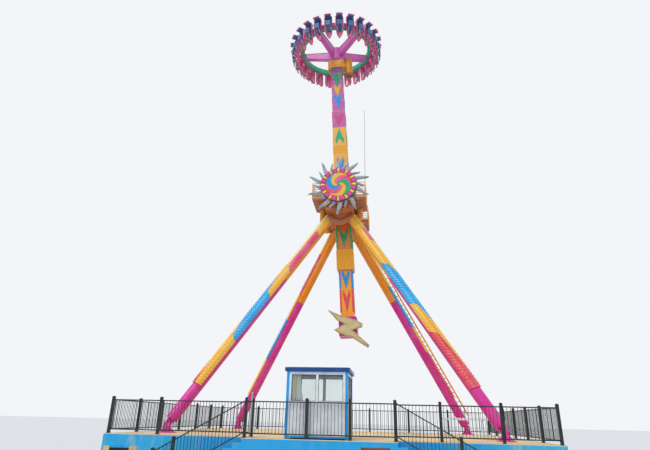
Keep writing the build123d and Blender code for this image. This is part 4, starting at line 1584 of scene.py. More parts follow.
@dataclass
class Medallion:
    """The sun disc on the front head; a ray's shape is shares of its length, its sway and its width."""

    draft: Draft = anew(Draft, "medallion_face")
    relief: Draft = anew(Draft, "ray_relief")
    lamps: Lamps = anew(Lamps, "medallion_lamps", 0.022, 0.018)
    radius: float = 0.965
    front: float = -2.7
    rim_inner: float = 0.7
    thickness: float = 0.045
    boss_height: float = 0.018
    sink: float = 0.005
    blocks: int = 24
    wide_block: float = radians(17)
    narrow_block: float = radians(9.5)
    block_coats: Sequence[Sequence[Coat]] = (
        (Coat.YELLOW, Coat.CREAM_YELLOW, Coat.YELLOW),
        (Coat.ROSE, Coat.MAGENTA, Coat.MAGENTA),
    )
    rim_lamps: Sequence[float] = (0.76, 0.83, 0.9)
    lamp_turn: float = 0.055
    arms: Sequence[Coat] = (Coat.YELLOW, Coat.PINK, Coat.GREEN, Coat.YELLOW, Coat.PINK, Coat.BLUE)
    twist: float = radians(150)
    first_arm: float = radians(100)
    arm_gap: float = 0.006
    arm_rows: int = 14
    arm_lamps: Sequence[float] = (0.18, 0.28, 0.38, 0.48, 0.58, 0.66)
    ray_count: int = 20
    ray_front: float = -2.59
    ray_steps: int = 12
    long_ray: Flat = (1.68, 0.15)
    short_ray: Flat = (1.38, 0.11)
    sway: float = 0.09
    ray_shape: Sequence[Point] = ((0.0, 0.0, 1.0), (0.33, 0.9, 0.78), (0.67, 0.0, 0.58), (1.0, -0.6, 0.14))

    @property
    def face(self) -> Matrix:
        """The disc's frame: X right, Y up and Z towards the viewer, on the disc's front."""
        return moved((0, self.front, PIVOT.z)) @ Matrix.Rotation(radians(90), 4, "X")

    def on(self, radius: float, angle: float) -> Flat:
        """A point of the disc."""
        return (radius * cos(angle), radius * sin(angle))

    def block(self, inner: float, outer: float, middle: float, half: float) -> list[Flat]:
        """The outline of a rim block.

        Args:
            inner: Its smaller radius.
            outer: Its larger radius.
            middle: The angle of its middle.
            half: Half the angle that it spans.

        Returns:
            The anticlockwise outline.
        """
        turns = [middle - half + half * k / 2 for k in range(5)]
        return [self.on(outer, turn) for turn in turns] + [self.on(inner, turn) for turn in reversed(turns)]

    def rim(self) -> None:
        """Adds the blocks round the rim, narrow yellow and wide magenta by turns, with their self.lamps."""
        top = self.thickness + self.boss_height
        for index in range(self.blocks):
            middle = pi / 2 - 2 * pi * index / self.blocks
            half, turns = (self.wide_block / 2, (-1, 1)) if index % 2 else (self.narrow_block / 2, (0,))
            base, boss, under = self.block_coats[index % 2]
            outline = self.block(self.rim_inner, self.radius - 0.012, middle, half)
            self.draft.prism(outline, -self.sink, self.thickness, base, self.face, 0.012)
            outline = self.block(self.rim_inner + 0.05, self.radius - 0.055, middle, half * 0.62)
            self.draft.prism(outline, self.thickness - 0.01, top, boss, self.face, 0.01)
            for radius in self.rim_lamps:
                for turn in turns:
                    self.lamps.fix(under, self.face, (*self.on(radius, middle + turn * self.lamp_turn), top))

    def swirl(self, radius: float, start: float) -> float:
        """The angle of a pinwheel arm's edge at a radius."""
        return start - self.twist * (radius / self.rim_inner - 1)

    def pinwheel(self) -> None:
        """Adds the six swirling arms and their self.lamps."""
        step = 2 * pi / len(self.arms)
        top = self.thickness * 0.8
        first, last = 0.03, self.rim_inner - 0.012
        radii = [first + (last - first) * k / self.arm_rows for k in range(self.arm_rows + 1)]
        for index, coat in enumerate(self.arms):
            start = self.first_arm - index * step
            left = [self.on(r, self.swirl(r, start) - self.arm_gap / r) for r in radii]
            right = [self.on(r, self.swirl(r, start - step) + self.arm_gap / r) for r in radii]
            rim = [self.on(last, self.swirl(last, start - step * k / 4)) for k in (3, 2, 1)]
            self.draft.prism(right + rim + left[::-1], -self.sink, top, coat, self.face)
            for radius in self.arm_lamps:
                spread = max(1, round(step * radius / 0.09))
                for k in range(spread):
                    angle = self.swirl(radius, start - step * (k + 0.5) / spread)
                    self.lamps.fix(coat, self.face, (*self.on(radius, angle), top))

    def flame(self, index: int) -> None:
        """Adds a folded face to a ray, along the same swaying line as the ray's plate.

        Args:
            index: The ray's number, clockwise from the bottom; even ones are long.
        """
        shares, sways, widths = zip(*self.ray_shape)
        sway_curve, width_curve = np.polyfit(shares, sways, 3), np.polyfit(shares, widths, 3)
        tip, half = self.short_ray if index % 2 else self.long_ray
        root = self.radius - half
        first = (self.radius + 0.01 - root) / (tip - root)
        turn = Matrix.Rotation(pi - 2 * pi * index / self.ray_count, 4, "Z")
        at = moved((0, self.ray_front - self.front, 0)) @ self.face @ turn
        rings = []
        for k in range(self.ray_steps + 1):
            share = first + (0.985 - first) * k / self.ray_steps
            y = root + (tip - root) * share
            bend = -self.sway * np.polyval(sway_curve, share)
            width = half * np.polyval(width_curve, share) * 0.9
            ridge = 0.012 + 0.09 * max(0.0, 1 - share) ** 0.6
            rings.append([(bend - width, y, 0.0), (bend + width * 0.15, y, ridge), (bend + width, y, 0.0)])
        self.relief.rings(rings, Coat.SILVER, at)

    def build(self) -> None:
        """Dresses the disc and its rays."""
        self.rim()
        self.pinwheel()
        build_on("structure", "disc_violet", self.draft, self.lamps)
        for index in range(self.ray_count):
            self.flame(index)
        self.relief.build("structure", "ray_silver")


# Counterweight: pale faces with a lamp border on a magenta core


@dataclass
class Counterweight:
    """The lightning bolt's lit front face and the cover on the rear of its body."""

    half_thickness: float = 0.6
    plate: float = 0.05
    plate_margin: float = 0.015
    lamp_margin: float = 0.06
    lamp_pitch: float = 0.11
    cover: Sequence[float] = (-0.38, -7.45, 0.38, -6.62)
    cover_plate: float = 0.02
    outline: Flats = (
        (-1.02, -6.18), (-0.55, -6.75), (-0.17, -6.97), (-0.71, -7.24), (-0.43, -7.45),
        (0.18, -7.66), (0.98, -8.22), (1.06, -8.08), (0.24, -7.3), (0.74, -7.17),
        (0.77, -6.98), (0.43, -6.79), (-0.32, -6.52),
    )

    def build(self) -> None:
        """Paints the bolt and adds its front plate, its lamps and its rear cover."""
        put_on("counterweight", PlatedPaint("two-tone enamel, counterweight", arm_frame()).build())
        draft = Draft("bolt_faces")
        lamps = Lamps("bolt_lamps", 0.028, 0.022)
        front = arm_frame() @ facing((0, -self.half_thickness, 0), (1, 0, 0))
        draft.prism(inset(self.outline, self.plate_margin), -0.01, self.plate, Coat.CREAM, front, 0.015)
        for x, z in points_round(inset(self.outline, self.lamp_margin), self.lamp_pitch):
            lamps.fix(Coat.CREAM, front, (x, z, self.plate - 0.002))
        rear = arm_frame() @ facing((0, self.half_thickness, 0), (-1, 0, 0))
        cover = rectangle(*self.cover)
        draft.prism(cover, -0.004, self.cover_plate, Coat.ROSE, rear, 0.006)
        screws = SeatedRepeat("bolt_cover_screws", 0.017, 0.012)
        screws.line(rear, inset(cover, 0.04), self.cover_plate, 0.16)
        build_on("pendulum", "bolt_magenta", screws, draft, lamps)


# Gondola: petal seats, padding, restraints, ring


@dataclass(frozen=True)
class PadShape:
    """A foam pad before it is covered: an outline in a seat's own plane, and its depth."""

    node: str
    outline: Flats
    depth: float
    crown: float
    seams: Sequence[float]
    at: Matrix
    voxel: float = 0.02
    pressure: float = 4.0
    frames: int = 20
    seam_half: float = 0.016
    seam_depth: float = 0.014

    @property
    def name(self) -> str:
        """The padded piece's name."""
        return f"{self.node}_soft"

    def mesh_piece(self, corners: Sequence, faces: Sequence) -> Piece:
        """A passing object for a step of the making.

        Args:
            corners: Its corners.
            faces: Its faces.

        Returns:
            The object.
        """
        mesh = bpy.data.meshes.new(self.name)
        mesh.from_pydata(corners, [], faces)
        return new_piece(self.name, mesh)

    def solved(self, piece: Piece) -> tuple[np.ndarray, list]:
        """The piece's corners and faces with its modifiers applied.

        Args:
            piece: The piece.

        Returns:
            Its corners as rows of an array, and its faces as rows of indices.
        """
        mesh = evaluated(piece)
        points = np.zeros(len(mesh.vertices) * 3)
        mesh.vertices.foreach_get("co", points)
        faces = [tuple(p.vertices) for p in mesh.polygons]
        bpy.data.meshes.remove(mesh)
        return points.reshape(-1, 3), faces

    def block(self) -> tuple[np.ndarray, list]:
        """The plain block with an even net of corners.

        Returns:
            Its corners and faces.
        """
        draft = Draft(self.name)
        draft.prism(inset(self.outline, 0.012), 0.006, self.depth - 0.006, Coat.PAD, Matrix(), 0.008)
        block = self.mesh_piece([tuple(c) for c in draft.corners], draft.faces)
        even = block.modifiers.new("even", "REMESH")
        even.mode = "VOXEL"
        even.voxel_size = self.voxel
        net = self.solved(block)
        bpy.data.objects.remove(block)
        return net

    def swell(self, points: np.ndarray, faces: list) -> np.ndarray:
        """Blows the cover up by cloth simulation and caps how far each corner moves.

        Args:
            points: The block's corners.
            faces: Its faces.

        Returns:
            The moved corners.
        """
        cover = self.mesh_piece(points.tolist(), faces)
        cloth = cover.modifiers.new("cover", "CLOTH")
        cloth.settings.use_pressure = True
        cloth.settings.uniform_pressure_force = self.pressure
        cloth.settings.effector_weights.gravity = 0
        cloth.point_cache.frame_end = self.frames
        for step in range(1, self.frames + 1):
            bpy.context.scene.frame_set(step)
        blown, _ = self.solved(cover)
        bpy.context.scene.frame_set(1)
        bpy.data.objects.remove(cover)
        shift = blown - points
        far = np.linalg.norm(shift, axis=1, keepdims=True)
        return points + shift * np.minimum(1.0, self.crown / np.maximum(far, 1e-9))

    def cushion(self) -> tuple[list, list]:
        """Covers the pad and presses its seams in.

        Returns:
            The finished pad's corners and faces: z is its depth, 0 at its back.
        """
        points, faces = self.block()
        points = self.swell(points, faces)
        for seam in self.seams:
            press = np.exp(-(((points[:, 1] - seam) / self.seam_half) ** 2)) * self.seam_depth
            front = points[:, 2] > self.depth * 0.5
            points[front, 2] -= press[front]
        points[:, 2] = np.maximum(points[:, 2], 0.0)
        return points.tolist(), faces


@dataclass
class Seat:
    """One seat in its own frame: -Y outwards, +Z towards the feet, heads at -Z."""

    back: float = 2.42
    head: float = -1.08
    foot: float = 0.34
    thickness: float = 0.03
    wing: float = 0.3
    rows: int = 22
    columns: int = 12
    rim: float = 0.022
    bracket: float = 0.08
    ring_outer: float = 2.38
    tread: Flat = (0.2, 0.6)
    bar_place: float = 0.165
    bar_radius: float = 0.024
    bar_path: Flats = ((0.1, -0.74), (0.2, -0.785), (0.36, -0.775), (0.42, -0.73), (0.435, -0.62))

    def half_width(self, share: float) -> float:
        """Half the shell's width, from 0 at the head's tip to 1 at the feet."""
        tip = sin(min(1.0, share / 0.42) * pi / 2) ** 0.75
        return 0.03 + 0.212 * tip - 0.03 * max(0.0, share - 0.55)

    def depth(self, share: float) -> float:
        """How far the wings come forward."""
        rise = min(1.0, max(0.0, (share - 0.05) / 0.3))
        return 0.05 + (self.wing - 0.05) * rise * rise * (3 - 2 * rise)

    def skin(self, share: float, u: float) -> Vector:
        """A point of the shell's rear face.

        Args:
            share: 0 at the head's tip to 1 at the feet.
            u: -1 to 1 across the shell.

        Returns:
            The point.
        """
        half = self.half_width(share)
        x = half * sin(u * pi / 2 * 0.98) if abs(u) < 1 else copysign(half, u)
        y = -self.back - self.depth(share) * abs(u) ** 2.6 - 0.03 * sin(share * pi)
        return Vector((x, y, self.head + (self.foot - self.head) * share))

    def lining(self, grid: Sequence, j: int, i: int) -> Vector:
        """The point of the shell's front face that lies over a point of its rear face.

        Args:
            grid: Rows of points of the rear face.
            j: The point's row.
            i: Its place in the row.

        Returns:
            The point.
        """
        down = grid[min(j + 1, self.rows)][i] - grid[max(j - 1, 0)][i]
        across = grid[j][min(i + 1, self.columns)] - grid[j][max(i - 1, 0)]
        normal = across.cross(down).normalized()
        return grid[j][i] + normal * (-self.thickness if normal.y > 0 else self.thickness)

    def shell(self, draft: Draft, at: Matrix) -> None:
        """Adds the petal-shaped shell with its rim, its bracket and its foot tread.

        Args:
            draft: The mesh in the making.
            at: The seat's frame.
        """
        rows, columns = range(self.rows + 1), range(self.columns + 1)
        grid = [[self.skin(j / self.rows, 2 * i / self.columns - 1) for i in columns] for j in rows]
        inner = [[self.lining(grid, j, i) for i in columns] for j in rows]
        draft.slab(grid, inner, Coat.SHELL, at, True, True)
        left, right = [row[0] for row in reversed(grid)], [row[-1] for row in grid]
        draft.tube(left + grid[0][1:-1] + right, self.rim, Coat.CRIMSON, at, 6)
        half, back = self.bracket, -self.back
        draft.box((-half, back - 0.02, -0.1), (half, -self.ring_outer + 0.02, 0.1), Coat.MAGENTA, at)
        half, reach = self.tread
        draft.box((-half, back - reach, self.foot - 0.04), (half, back - 0.03, self.foot), Coat.SHELL, at)

    def restraint(self, draft: Draft, at: Matrix) -> None:
        """Adds the shoulder tubes.

        Args:
            draft: The mesh in the making.
            at: The seat's frame.
        """
        for x in (-self.bar_place, self.bar_place):
            path = [(x, -self.back - reach, z) for reach, z in self.bar_path]
            draft.tube(path, self.bar_radius, Coat.STEEL, at, 8)


def facing_rider(distance: float) -> Matrix:
    """The frame of a pad that stands upright at a distance from the ring's middle."""
    turn = Matrix.Rotation(radians(90), 4, "X") @ Matrix.Rotation(pi, 4, "Z")
    return moved((0, -distance, 0)) @ turn


BACK = ((0.19, -0.24), (0.19, 0.42), (0.1, 0.69))
BACK_SEAMS = (-0.05, 0.14, 0.33, 0.52)
SEAT_PAN = rectangle(-0.19, 0.0, 0.19, 0.5)
HARNESS = ((0.19, 0.06), (0.19, 0.72), (0.135, 0.72), (0.105, 0.5))
LEVEL_PAD = moved((0, -2.48, 0.3)) @ Matrix.Rotation(pi, 4, "X")
PADS = (
    PadShape("back_pads", (*BACK, *mirrored(BACK)), 0.06, 0.012, BACK_SEAMS, facing_rider(2.465)),
    PadShape("seat_pads", SEAT_PAN, 0.06, 0.012, (0.17, 0.34), LEVEL_PAD),
    PadShape("harness_pads", (*HARNESS, *mirrored(HARNESS)), 0.09, 0.014, (0.3,), facing_rider(2.82)),
)


@dataclass
class Gondola:
    """The ring of seats."""

    inner: float = 2.1
    outer: float = 2.38
    half_height: float = 0.15
    ring_steps: int = 100
    lamp_count: int = 112
    band: Flats = (
        (0.17, -0.148), (0.17, -0.168), (-0.02, -0.168), (-0.02, 0.12), (0.01, 0.13), (0.01, -0.148)
    )

    def seat_frames(self) -> list[Matrix]:
        """The frames of the seats."""
        return [gondola_frame() @ Matrix.Rotation(2 * pi * k / SEATS, 4, "Z") for k in range(SEATS)]

    def seats(self) -> None:
        """Makes shells and restraints."""
        shells, bars = Draft("seat_shells"), Draft("restraint_bars")
        seat = Seat()
        for at in self.seat_frames():
            seat.shell(shells, at)
            seat.restraint(bars, at)
        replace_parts(shells.build("gondola", "seat_pink"), "seat_backs", "seat_sides", "seat_pans")
        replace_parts(bars.build("gondola", "harness_steel"), "harness_arms")

    def padding(self) -> None:
        """Makes the pads of all seats."""
        for pad in PADS:
            corners, faces = pad.cushion()
            draft = Draft(pad.name)
            for at in self.seat_frames():
                draft.put(corners, faces, Coat.PAD, at @ pad.at, True)
            piece = draft.build("gondola", "pad_blue")
            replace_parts(piece, pad.node)

    def ring(self) -> None:
        """Adds the green inner band with its lamps, and the ring's bolts."""
        draft = Draft("ring_band")
        at = gondola_frame()
        corners, faces = [], []
        rows, steps = len(self.band), self.ring_steps
        for i in range(steps):
            a = 2 * pi * i / steps
            for reach, z in self.band:
                corners.append(((self.inner + reach) * cos(a), (self.inner + reach) * sin(a), z))
            start, after = i * rows, (i + 1) % steps * rows
            for k in range(rows):
                m = (k + 1) % rows
                faces.append((start + k, start + m, after + m, after + k))
        draft.put(corners, faces, Coat.GREEN, at)
        lamps = SeatedRepeat("ring_lamps", 0.024, 0.018, Coat.LAMP_GREEN, 8, True)
        bolts = SeatedRepeat("ring_bolts", 0.02, 0.014)
        for k in range(self.lamp_count):
            a = 2 * pi * k / self.lamp_count
            ray = Vector((cos(a), sin(a), 0))
            lamps.fix(at, ray * (self.inner - 0.02) + Vector((0, 0, 0.07 if k % 2 else -0.03)), -ray)
            if k % 2:
                for level in (-1, 1):
                    place = ray * (self.outer - 0.07) + Vector((0, 0, level * self.half_height))
                    bolts.fix(at, place, (0, 0, level))
        build_on("gondola", "ring_magenta", draft, lamps, bolts)

    def build(self) -> None:
        """Builds the gondola's looks."""
        self.seats()
        self.padding()
        self.ring()


# Bearing heads, service floors and swing drives


@dataclass
class Heads:
    """Edge mouldings, ribs, webs between the leg tops, covers and bolts on both bearing heads; the webs'
    red-brown ribs are painted shade.
    """

    draft: Draft = anew(Draft, "head_mouldings")
    bolts: SeatedRepeat = anew(SeatedRepeat, "head_bolts", 0.024, 0.02)
    near: float = 0.62
    web_place: float = 1.62
    far: float = 2.3
    half_width: float = 0.72
    top: float = 0.75
    moulding: float = 0.085
    thickness: float = 0.02
    sink: float = 0.005
    outline: Flats = (
        (-0.72, -1.15), (0.0, -1.35), (0.72, -1.15), (0.72, 0.59), (0.56, 0.75), (-0.56, 0.75), (-0.72, 0.59)
    )
    flank_rows: Flats = ((-0.62, 0.58), (-1.14, -0.73))
    rib: Flats = ((-0.62, -0.82), (0.0, -1.22), (0.0, -1.14), (-0.58, -0.76))
    web: Flats = ((0.0, -1.9), (0.2, -1.84), (0.42, -1.74), (0.69, -1.66), (0.7, -1.1))
    shaded_web_rib: Flats = ((-0.66, -1.3), (0.0, -1.62), (0.0, -1.54), (-0.66, -1.2))
    web_bolts: Flats = ((-0.62, -1.62), (0.0, -1.84), (0.62, -1.62))

    def edge(self, outline: Flats, at: Matrix) -> None:
        """Adds a moulding inside an outline and bolts along it."""
        self.draft.border(outline, self.moulding, -self.sink, self.thickness, Coat.HEAD, at)
        self.bolts.line(at, inset(outline, self.moulding / 2), self.thickness, 0.17)

    def ribs(self, outline: Flats, height: float, coat: Coat, at: Matrix) -> None:
        """Adds a rib and its mirror image."""
        for shape in (outline, mirrored(outline)):
            self.draft.prism(shape, -self.sink, height, coat, at, 0.01)

    def dress(self, side: int) -> None:
        """Dresses one head.

        Args:
            side: 1 for the rear head and -1 for the front one.
        """
        middle, reach = side * (self.near + self.far) / 2, (self.far - self.near) / 2
        for place, across in ((self.far, -side), (self.near, side)):
            at = facing((0, side * place, PIVOT.z), (across, 0, 0))
            self.edge(self.outline, at)
            self.ribs(self.rib, 0.045, Coat.HEAD, at)
        for side_x in (-1, 1):
            at = facing((side_x * self.half_width, middle, PIVOT.z), (0, side_x, 0))
            for low, high in self.flank_rows:
                self.edge(rectangle(-reach, low, reach, high), at)
        web = facing((0, side * self.web_place, PIVOT.z), (-side, 0, 0))
        self.draft.prism([*self.web, *mirrored(self.web[1:])], -0.03, 0.0, Coat.HEAD, web, 0.006)
        # the webs' ribs in red brown are painted shade along the V of the head's underside
        self.ribs(self.shaded_web_rib, 0.06, Coat.BROWN, web)
        self.bolts.line(web, self.web_bolts, 0.0, 0.16)
        top = facing((0, middle, PIVOT.z + self.top), (1, 0, 0), (0, 1, 0))
        self.draft.prism(octagon(0.42, 0.6, 0.08), -self.sink, 0.04, Coat.UMBER, top, 0.012)
        self.bolts.line(top, octagon(0.37, 0.55, 0.06), 0.04, 0.2)

    def build(self) -> None:
        """Dresses both heads."""
        for side in (-1, 1):
            self.dress(side)
        build_on("structure", "head_orange", self.draft, self.bolts)


@dataclass
class ServiceFloors:
    """Battens, brackets and toe boards of the service floors, and the drives' fins."""

    floors: Draft = anew(Draft, "service_floor_dress")
    drives: Draft = anew(Draft, "drive_fins")
    level: float = 13.26
    underside: float = 13.2
    inner: float = 0.72
    outer: float = 1.42
    near: float = 0.62
    far: float = 2.53
    batten_pitch: float = 0.191
    toe_board: float = 0.1
    gusset_places: Flat = (0.68, 2.24)
    gusset_reach: float = 1.3
    drive_place: Flat = (1.02, 0.9)
    drive_length: float = 0.64
    drive_radius: float = 0.158
    fins: int = 9
    fin_pitch: float = 0.04
    fin_depth: float = 0.018

    def floor(self, at: Matrix) -> None:
        """Adds the battens under a floor, its toe boards and its brackets.

        Args:
            at: The floor's placing.
        """
        # the battens' umber is painted shade under the orange floor
        for k in range(int((self.far - self.near) / self.batten_pitch)):
            y = self.near + self.batten_pitch * (k + 0.5)
            low = (self.inner, y, self.underside - 0.035)
            self.floors.box(low, (self.outer - 0.004, y + 0.1, self.underside), Coat.UMBER, at)
        low, high = self.level, self.level + self.toe_board
        x, y = self.outer, self.far
        self.floors.box((x - 0.012, self.near, low), (x - 0.004, y, high), Coat.ORANGE, at)
        self.floors.box((self.inner + 0.05, y - 0.012, low), (x, y - 0.004, high), Coat.ORANGE, at)
        top = self.underside - 0.03
        gusset = [(self.inner, top), (self.inner, self.underside - 0.3), (self.gusset_reach, top)]
        for y in self.gusset_places:
            self.floors.prism(gusset, -0.008, 0.008, Coat.HEAD, at @ facing((0, y, 0), (1, 0, 0)), 0.002)

    def drive(self, at: Matrix) -> None:
        """Adds the finned shell and the mounting flange of a drive motor.

        Args:
            at: The motor's placing.
        """
        bottom, top, r = self.underside - self.drive_length, self.underside, self.drive_radius
        fin, flange = r + self.fin_depth, r + 0.035
        profile = [(0.05, bottom - 0.02), (0.12, bottom - 0.02), (r, bottom + 0.012)]
        for k in range(self.fins):
            z = bottom + 0.07 + self.fin_pitch * k
            profile += [(r, z), (fin, z + 0.004), (fin, z + 0.012), (r, z + 0.016)]
        profile += [(r, top - 0.09), (flange, top - 0.085), (flange, top - 0.055)]
        profile += [(r, top - 0.05), (r, top - 0.035)]
        self.drives.lathe(profile, Coat.AMBER, at @ moved((*self.drive_place, 0)), 28)

    def build(self) -> None:
        """Dresses the four floors and their drives."""
        for at in quarters():
            self.floor(at)
            self.drive(at)
        self.floors.build("structure", "service_orange")
        self.drives.build("structure", "drive_orange")


# Feet


@dataclass
class Feet:
    """Anchor bolts, washers and gussets of the four feet."""

    plate_half: float = 0.32
    plate_top: float = DECK + 0.03
    bolt_inset: float = 0.052
    bolt_pitch: float = 0.26
    ear_face: float = 0.086
    gusset_place: float = 0.13
    gusset_reach: float = 0.2
    gusset_height: float = 0.19
    gusset_half: float = 0.011

    def build(self) -> None:
        """Builds all feet."""
        draft = Draft("foot_gussets")
        washers = SeatedRepeat("anchor_washers", 0.034, 0.006, sides=16)
        nuts = SeatedRepeat("anchor_nuts", 0.022, 0.028)
        room = self.plate_half - self.bolt_inset
        foot = Vector((FOOT[0], FOOT[1], self.plate_top))
        inwards = Vector((LEG_TOP[0] - FOOT[0], LEG_TOP[1] - FOOT[1], 0)).normalized()
        across = Vector((-inwards.y, inwards.x, 0))
        e, r = self.ear_face, self.gusset_reach
        gusset = [(e, 0), (r, 0), (e, self.gusset_height)]
        plate = rectangle(-room, -room, room, room)
        for at in quarters():
            for kind in (washers, nuts):
                kind.line(at @ moved(foot), plate, 0.0, self.bolt_pitch)
            for place in (-self.gusset_place, self.gusset_place):
                face = at @ facing(foot + inwards * place, across)
                for shape in (gusset, mirrored(gusset)):
                    draft.prism(shape, -self.gusset_half, self.gusset_half, Coat.MAGENTA, face, 0.003)
        build_on("structure", "foot_steel", draft, washers, nuts)


# Upper end of the arm: bearing housing, spin motor and gondola hub


@dataclass
class SpinHead:
    """Flanges, ribs, fins and bolts of the bearing housing, the spin motor, the hub and the spokes."""

    fixed: Draft = anew(Draft, "spin_head_dress")
    fixed_bolts: SeatedRepeat = anew(SeatedRepeat, "spin_head_bolts", 0.024, 0.02)
    turning: Draft = anew(Draft, "hub_dress")
    turning_bolts: SeatedRepeat = anew(SeatedRepeat, "hub_bolts", 0.02, 0.016)
    housing_low: float = 9.6
    housing_high: float = 10.2
    housing_half: Flat = (0.555, 0.4)
    arm_half: float = 0.37
    motor_offset: float = 0.792
    motor_radius: float = 0.227
    motor_low: float = 9.05
    motor_high: float = 10.33
    motor_fins: int = 11
    motor_fin_pitch: float = 0.045
    hub_radius: float = 0.47
    hub_flange: float = 0.04
    hub_bolts: int = 20
    spokes: int = 5
    spoke_start: float = -126.0
    spoke_half: float = 0.14
    upper_cap: Flats = ((0.44, -0.135), (2.08, 0.145), (2.08, 0.165), (0.44, -0.115))
    lower_cap: Flats = ((0.44, -0.645), (2.08, -0.19), (2.08, -0.17), (0.44, -0.625))
    end_plate: Flat = (2.035, 2.078)
    plate_bolts: Sequence[float] = (-0.14, -0.03, 0.08)

    def housing(self) -> None:
        """Adds the housing's cover plates, and the bolts round its foot and on the plates."""
        half_x, half_y = self.housing_half
        for x, y in points_round(octagon(half_x - 0.045, half_y - 0.018, 0.24), 0.17):
            if max(abs(x), abs(y)) > self.arm_half:
                self.fixed_bolts.fix(arm_frame(), (x, y, self.housing_low), (0, 0, -1))
        middle = (self.housing_low + self.housing_high) / 2
        for side in (-1, 1):
            face = arm_frame() @ facing((0, side * half_y, middle), (-side, 0, 0))
            plate = octagon(0.235, 0.19, 0.05)
            self.fixed.prism(plate, -0.004, 0.018, Coat.AMBER, face, 0.006)
            self.fixed_bolts.line(face, inset(plate, 0.035), 0.018, 0.14)

    def motor(self) -> None:
        """Adds the motor's fins and end bell; the bell's red brown is painted shade on the motor's downward
        end.
        """
        at = arm_frame() @ moved((self.motor_offset, 0, 0))
        r, low, high = self.motor_radius, self.motor_low, self.motor_high
        bell = [(0.06, low - 0.05), (0.15, low - 0.045), (0.2, low - 0.02)]
        bell += [(r + 0.004, low + 0.03), (r + 0.004, low + 0.16)]
        # the bell's red brown is painted shade on the motor's downward end
        self.fixed.lathe(bell, Coat.BROWN, at, 36, True)
        fins = [(r, low + 0.165)]
        for k in range(self.motor_fins):
            z = low + 0.2 + self.motor_fin_pitch * k
            fins += [(r, z), (r + 0.006, z + 0.004), (r + 0.006, z + 0.018), (r, z + 0.022)]
        fins += [(r, high - 0.1), (r + 0.006, high - 0.09), (r + 0.006, high), (0.1, high + 0.02)]
        self.fixed.lathe(fins, Coat.AMBER, at, 36)

    def hub(self) -> None:
        """Adds the hub's bolted flange."""
        at = gondola_frame()
        low = self.housing_high + 0.056 - RING_LEVEL
        inner, outer = self.hub_radius - 0.01, self.hub_radius + self.hub_flange
        profile = [(inner, low), (outer, low + 0.005), (outer, low + 0.04), (inner, low + 0.05)]
        self.turning.lathe(profile, Coat.SPOKE, at, 40)
        for k in range(self.hub_bolts):
            a = 2 * pi * k / self.hub_bolts
            r = self.hub_radius + 0.018
            self.turning_bolts.fix(at, (r * cos(a), r * sin(a), low), (0, 0, -1))

    def spoke(self, index: int) -> None:
        """Adds a spoke's cap plates and its bolted end plate.

        Args:
            index: The spoke's number.
        """
        turn = radians(self.spoke_start + 360 / self.spokes * index)
        at = gondola_frame() @ Matrix.Rotation(turn, 4, "Z")
        half = self.spoke_half + 0.02
        for outline in (self.upper_cap, self.lower_cap):
            self.turning.prism(outline, -half, half, Coat.SPOKE, at @ facing((0, 0, 0), (1, 0, 0)), 0.004)
        inner, outer = self.end_plate
        self.turning.box((inner, -0.19, -0.2), (outer, 0.19, 0.15), Coat.SPOKE, at)
        for y in (-0.165, 0.165):
            for z in self.plate_bolts:
                self.turning_bolts.fix(at, (inner, y, z), (-1, 0, 0))

    def build(self) -> None:
        """Builds both sides of the spin bearing."""
        self.housing()
        self.motor()
        self.hub()
        for index in range(self.spokes):
            self.spoke(index)
        build_on("pendulum", "drive_orange", self.fixed, self.fixed_bolts)
        build_on("gondola", "spoke_pink", self.turning, self.turning_bolts)


# Platform: fence post caps, stair nosings, vent, hatch, barrier


@dataclass
class Fences:
    """Caps and shoe plates of the fence posts."""

    half_post: float = 0.05
    cap_edge: float = 0.006
    height: float = 1.28
    side_row: float = 8.1
    front_row: float = -7.1
    rear_row: float = 6.125
    landing_row: float = -8.09
    front_posts: Sequence[float] = (2.6, 4.16, 6.24, 8.1, -2.6, -6.17, -8.1)
    landing_posts: Sequence[float] = (-2.575, -0.43, 1.06, 2.575)
    stair_posts: Sequence[float] = (4.69, 5.8, -5.09, -5.8)
    stair_top: Flat = (2.625, 1.7135)
    stair_slope: float = 0.17 / 0.315
    side_bays: int = 6
    rear_bays: int = 7

    def places(self) -> Iterator[Point]:
        """Each post's place, with the level that its height counts from.

        Yields:
            The place.
        """
        for x in self.front_posts:
            yield x, self.front_row, DECK
        bay = (self.rear_row - self.front_row) / self.side_bays
        for x in (-self.side_row, self.side_row):
            for k in range(1, self.side_bays + 1):
                yield x, self.front_row + bay * k, DECK
        for k in range(1, self.rear_bays):
            yield self.side_row * (2 * k / self.rear_bays - 1), self.rear_row, DECK
        for x in self.landing_posts:
            yield x, self.landing_row, DECK
        start, level = self.stair_top
        for x in self.stair_posts:
            yield x, self.landing_row, level - self.stair_slope * (abs(x) - start)

    def build(self) -> None:
        """Adds the caps, the shoe plates and their bolts."""
        draft = Draft("fence_caps")
        bolts = SeatedRepeat("fence_bolts", 0.011, 0.01)
        half = self.half_post + self.cap_edge
        ring = rectangle(-half, -half, half, half)
        corners = [(x, y, z) for z in (0.0, 0.012) for x, y in ring] + [(0.0, 0.0, 0.045)]
        faces = [(3, 2, 1, 0), (0, 1, 5, 4), (1, 2, 6, 5), (2, 3, 7, 6), (3, 0, 4, 7)]
        faces += [(4, 5, 8), (5, 6, 8), (6, 7, 8), (7, 4, 8)]
        for x, y, base in self.places():
            draft.put(corners, faces, Coat.FENCE, moved((x, y, base + self.height)))
            if base == DECK:
                shoe = moved((x, y, DECK))
                draft.prism(octagon(0.072, 0.072, 0.012), 0.0, 0.012, Coat.FENCE, shoe, 0.004)
                for bx, by in rectangle(-0.061, -0.061, 0.061, 0.061):
                    bolts.fix(shoe, (bx, by, 0.012))
        build_on("structure", "fence_green", draft, bolts)


